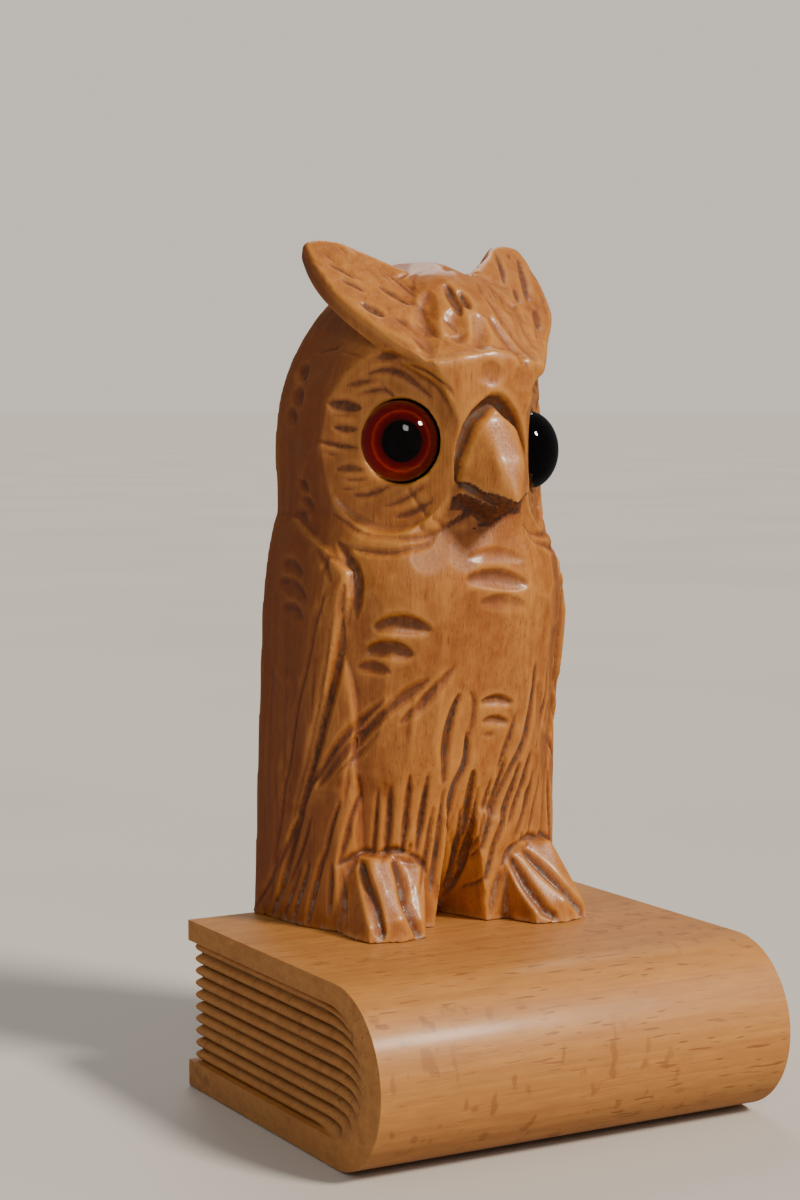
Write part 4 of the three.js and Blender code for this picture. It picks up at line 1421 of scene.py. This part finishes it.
class OWL_OT_finish_hidden_parts(bpy.types.Operator):
    """Gives the wire loops, the setting putty and the screws their finishes"""

    bl_idname = "owl.finish_hidden_parts"
    bl_label = "Finish the Hidden Parts"

    def execute(self, context):
        putty = dull("setting_putty", (0.03, 0.02, 0.014), (0.07, 0.045, 0.03), 0.8, 0.75)
        wire = dull("annealed_wire", (0.10, 0.085, 0.075), (0.24, 0.21, 0.19), 1.2, 0.35, 1.0, 0.02)
        steel = dull("screw_steel", (0.20, 0.16, 0.12), (0.46, 0.43, 0.40), 0.7, 0.28, 1.0, 0.02)
        finishes = {"eye_putty_right": putty, "eye_putty_left": putty, "eye_wire_right": wire,
                    "eye_wire_left": wire, "owl_screw_1": steel, "owl_screw_2": steel}
        for node, material in finishes.items():
            paint(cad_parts[node], material)
        return {"FINISHED"}


# ---------------------------------------------------------------------------------------------
# The stage
# ---------------------------------------------------------------------------------------------


class OWL_OT_set_stage(bpy.types.Operator):
    """Sets the floor, the backdrop, the lights and the camera"""

    bl_idname = "owl.set_stage"
    bl_label = "Set the Stage"

    def execute(self, context):
        settings = context.scene.owl_stage
        self.make_floor(context, settings)
        self.make_lights(context, settings)
        self.make_camera(context)
        return {"FINISHED"}

    def make_floor(self, context, settings):
        deselect_all()
        bpy.ops.mesh.primitive_plane_add(size=FLOOR_SIZE, location=(0, 0, -FLOOR_DROP))
        floor = bpy.context.object
        floor.name = "floor"
        floor.visible_glossy = False
        set_origin(floor)
        r = Recipe("pale_floor")
        mottle = r.noise(r.place((1, 1, 1)), 0.004, 2.0, 0.5)
        darker = tuple(0.94 * channel for channel in settings.floor)
        colour = r.blend(mottle.step(0.4, 0.7), tuple(settings.floor), darker)
        paint(floor, r.finish({"Roughness": 0.7}, {"Base Color": colour}))
        world = bpy.data.worlds.new("studio")
        world.use_nodes = True
        tree = world.node_tree
        background = tree.nodes["Background"]
        background.inputs[0].default_value = (1.0, 0.96, 0.91, 1)
        background.inputs[1].default_value = settings.sky
        backdrop = tree.nodes.new("ShaderNodeBackground")
        backdrop.inputs[0].default_value = (0.98, 0.885, 0.775, 1)
        backdrop.inputs[1].default_value = settings.backdrop
        mixer = tree.nodes.new("ShaderNodeMixShader")
        path = tree.nodes.new("ShaderNodeLightPath")
        reflected = tree.nodes.new("ShaderNodeBackground")
        reflected.inputs[1].default_value = settings.reflected
        chooser = tree.nodes.new("ShaderNodeMixShader")
        tree.links.new(path.outputs["Is Glossy Ray"], chooser.inputs[0])
        tree.links.new(background.outputs[0], chooser.inputs[1])
        tree.links.new(reflected.outputs[0], chooser.inputs[2])
        tree.links.new(path.outputs["Is Camera Ray"], mixer.inputs[0])
        tree.links.new(chooser.outputs[0], mixer.inputs[1])
        tree.links.new(backdrop.outputs[0], mixer.inputs[2])
        tree.links.new(mixer.outputs[0], tree.nodes["World Output"].inputs["Surface"])
        context.scene.world = world

    def make_lights(self, context, settings):
        lights = [
            ("key_light", (0.50, -0.90, 0.95), 12, settings.key_strength, (1.0, 0.92, 0.80)),
            ("fill_light", (-0.55, -0.95, 0.70), 16, settings.fill_strength, (1.0, 0.97, 0.94)),
            ("back_light", (0.5, 0.9, 0.9), 25, settings.fill_strength, (1.0, 0.98, 0.96)),
        ]
        for name, place, spread, strength, colour in lights:
            data = bpy.data.lights.new(name, "SUN")
            data.angle = math.radians(spread)
            data.energy = strength
            data.color = colour
            lamp = bpy.data.objects.new(name, data)
            lamp.location = place
            lamp.rotation_euler = (-Vector(place)).to_track_quat("-Z", "Y").to_euler()
            context.scene.collection.objects.link(lamp)

    def make_camera(self, context):
        data = bpy.data.cameras.new("camera")
        data.lens = CAMERA_LENS
        data.sensor_width = CAMERA_SENSOR
        camera = bpy.data.objects.new("camera", data)
        camera.location = CAMERA_PLACE
        turn = math.radians(CAMERA_TURN)
        dip = math.radians(CAMERA_DIP)
        camera.rotation_euler = (math.pi / 2 - dip, 0, -turn)
        context.scene.collection.objects.link(camera)
        context.scene.camera = camera


# ---------------------------------------------------------------------------------------------
# The add-on
# ---------------------------------------------------------------------------------------------

STEPS = (
    OWL_OT_set_stage, OWL_OT_make_book, OWL_OT_carve_body, OWL_OT_make_eyes, OWL_OT_finish_hidden_parts,
)
GROUPS = {
    "owl_wood": OwlWoodSettings,
    "owl_book": BookSettings,
    "owl_eyes": EyeSettings,
    "owl_stage": StageSettings,
}


class OWL_PT_panel(bpy.types.Panel):
    bl_label = "Carved Owl"
    bl_idname = "OWL_PT_panel"
    bl_space_type = "VIEW_3D"
    bl_region_type = "UI"
    bl_category = "Owl"

    def draw(self, context):
        layout = self.layout
        for step in STEPS:
            layout.operator(step.bl_idname)
        for name, group in GROUPS.items():
            box = layout.box()
            settings = getattr(context.scene, name)
            for key in group.__annotations__:
                box.prop(settings, key)


def register():
    for name, group in GROUPS.items():
        bpy.utils.register_class(group)
        setattr(bpy.types.Scene, name, bpy.props.PointerProperty(type=group))
    for step in STEPS:
        bpy.utils.register_class(step)
    bpy.utils.register_class(OWL_PT_panel)


def unregister():
    bpy.utils.unregister_class(OWL_PT_panel)
    for step in reversed(STEPS):
        bpy.utils.unregister_class(step)
    for name, group in GROUPS.items():
        delattr(bpy.types.Scene, name)
        bpy.utils.unregister_class(group)


def main():
    register()
    bpy.ops.owl.set_stage()
    bpy.ops.owl.make_book()
    bpy.ops.owl.carve_body()
    bpy.ops.owl.make_eyes()
    bpy.ops.owl.finish_hidden_parts()


if __name__ == "__main__":
    main()
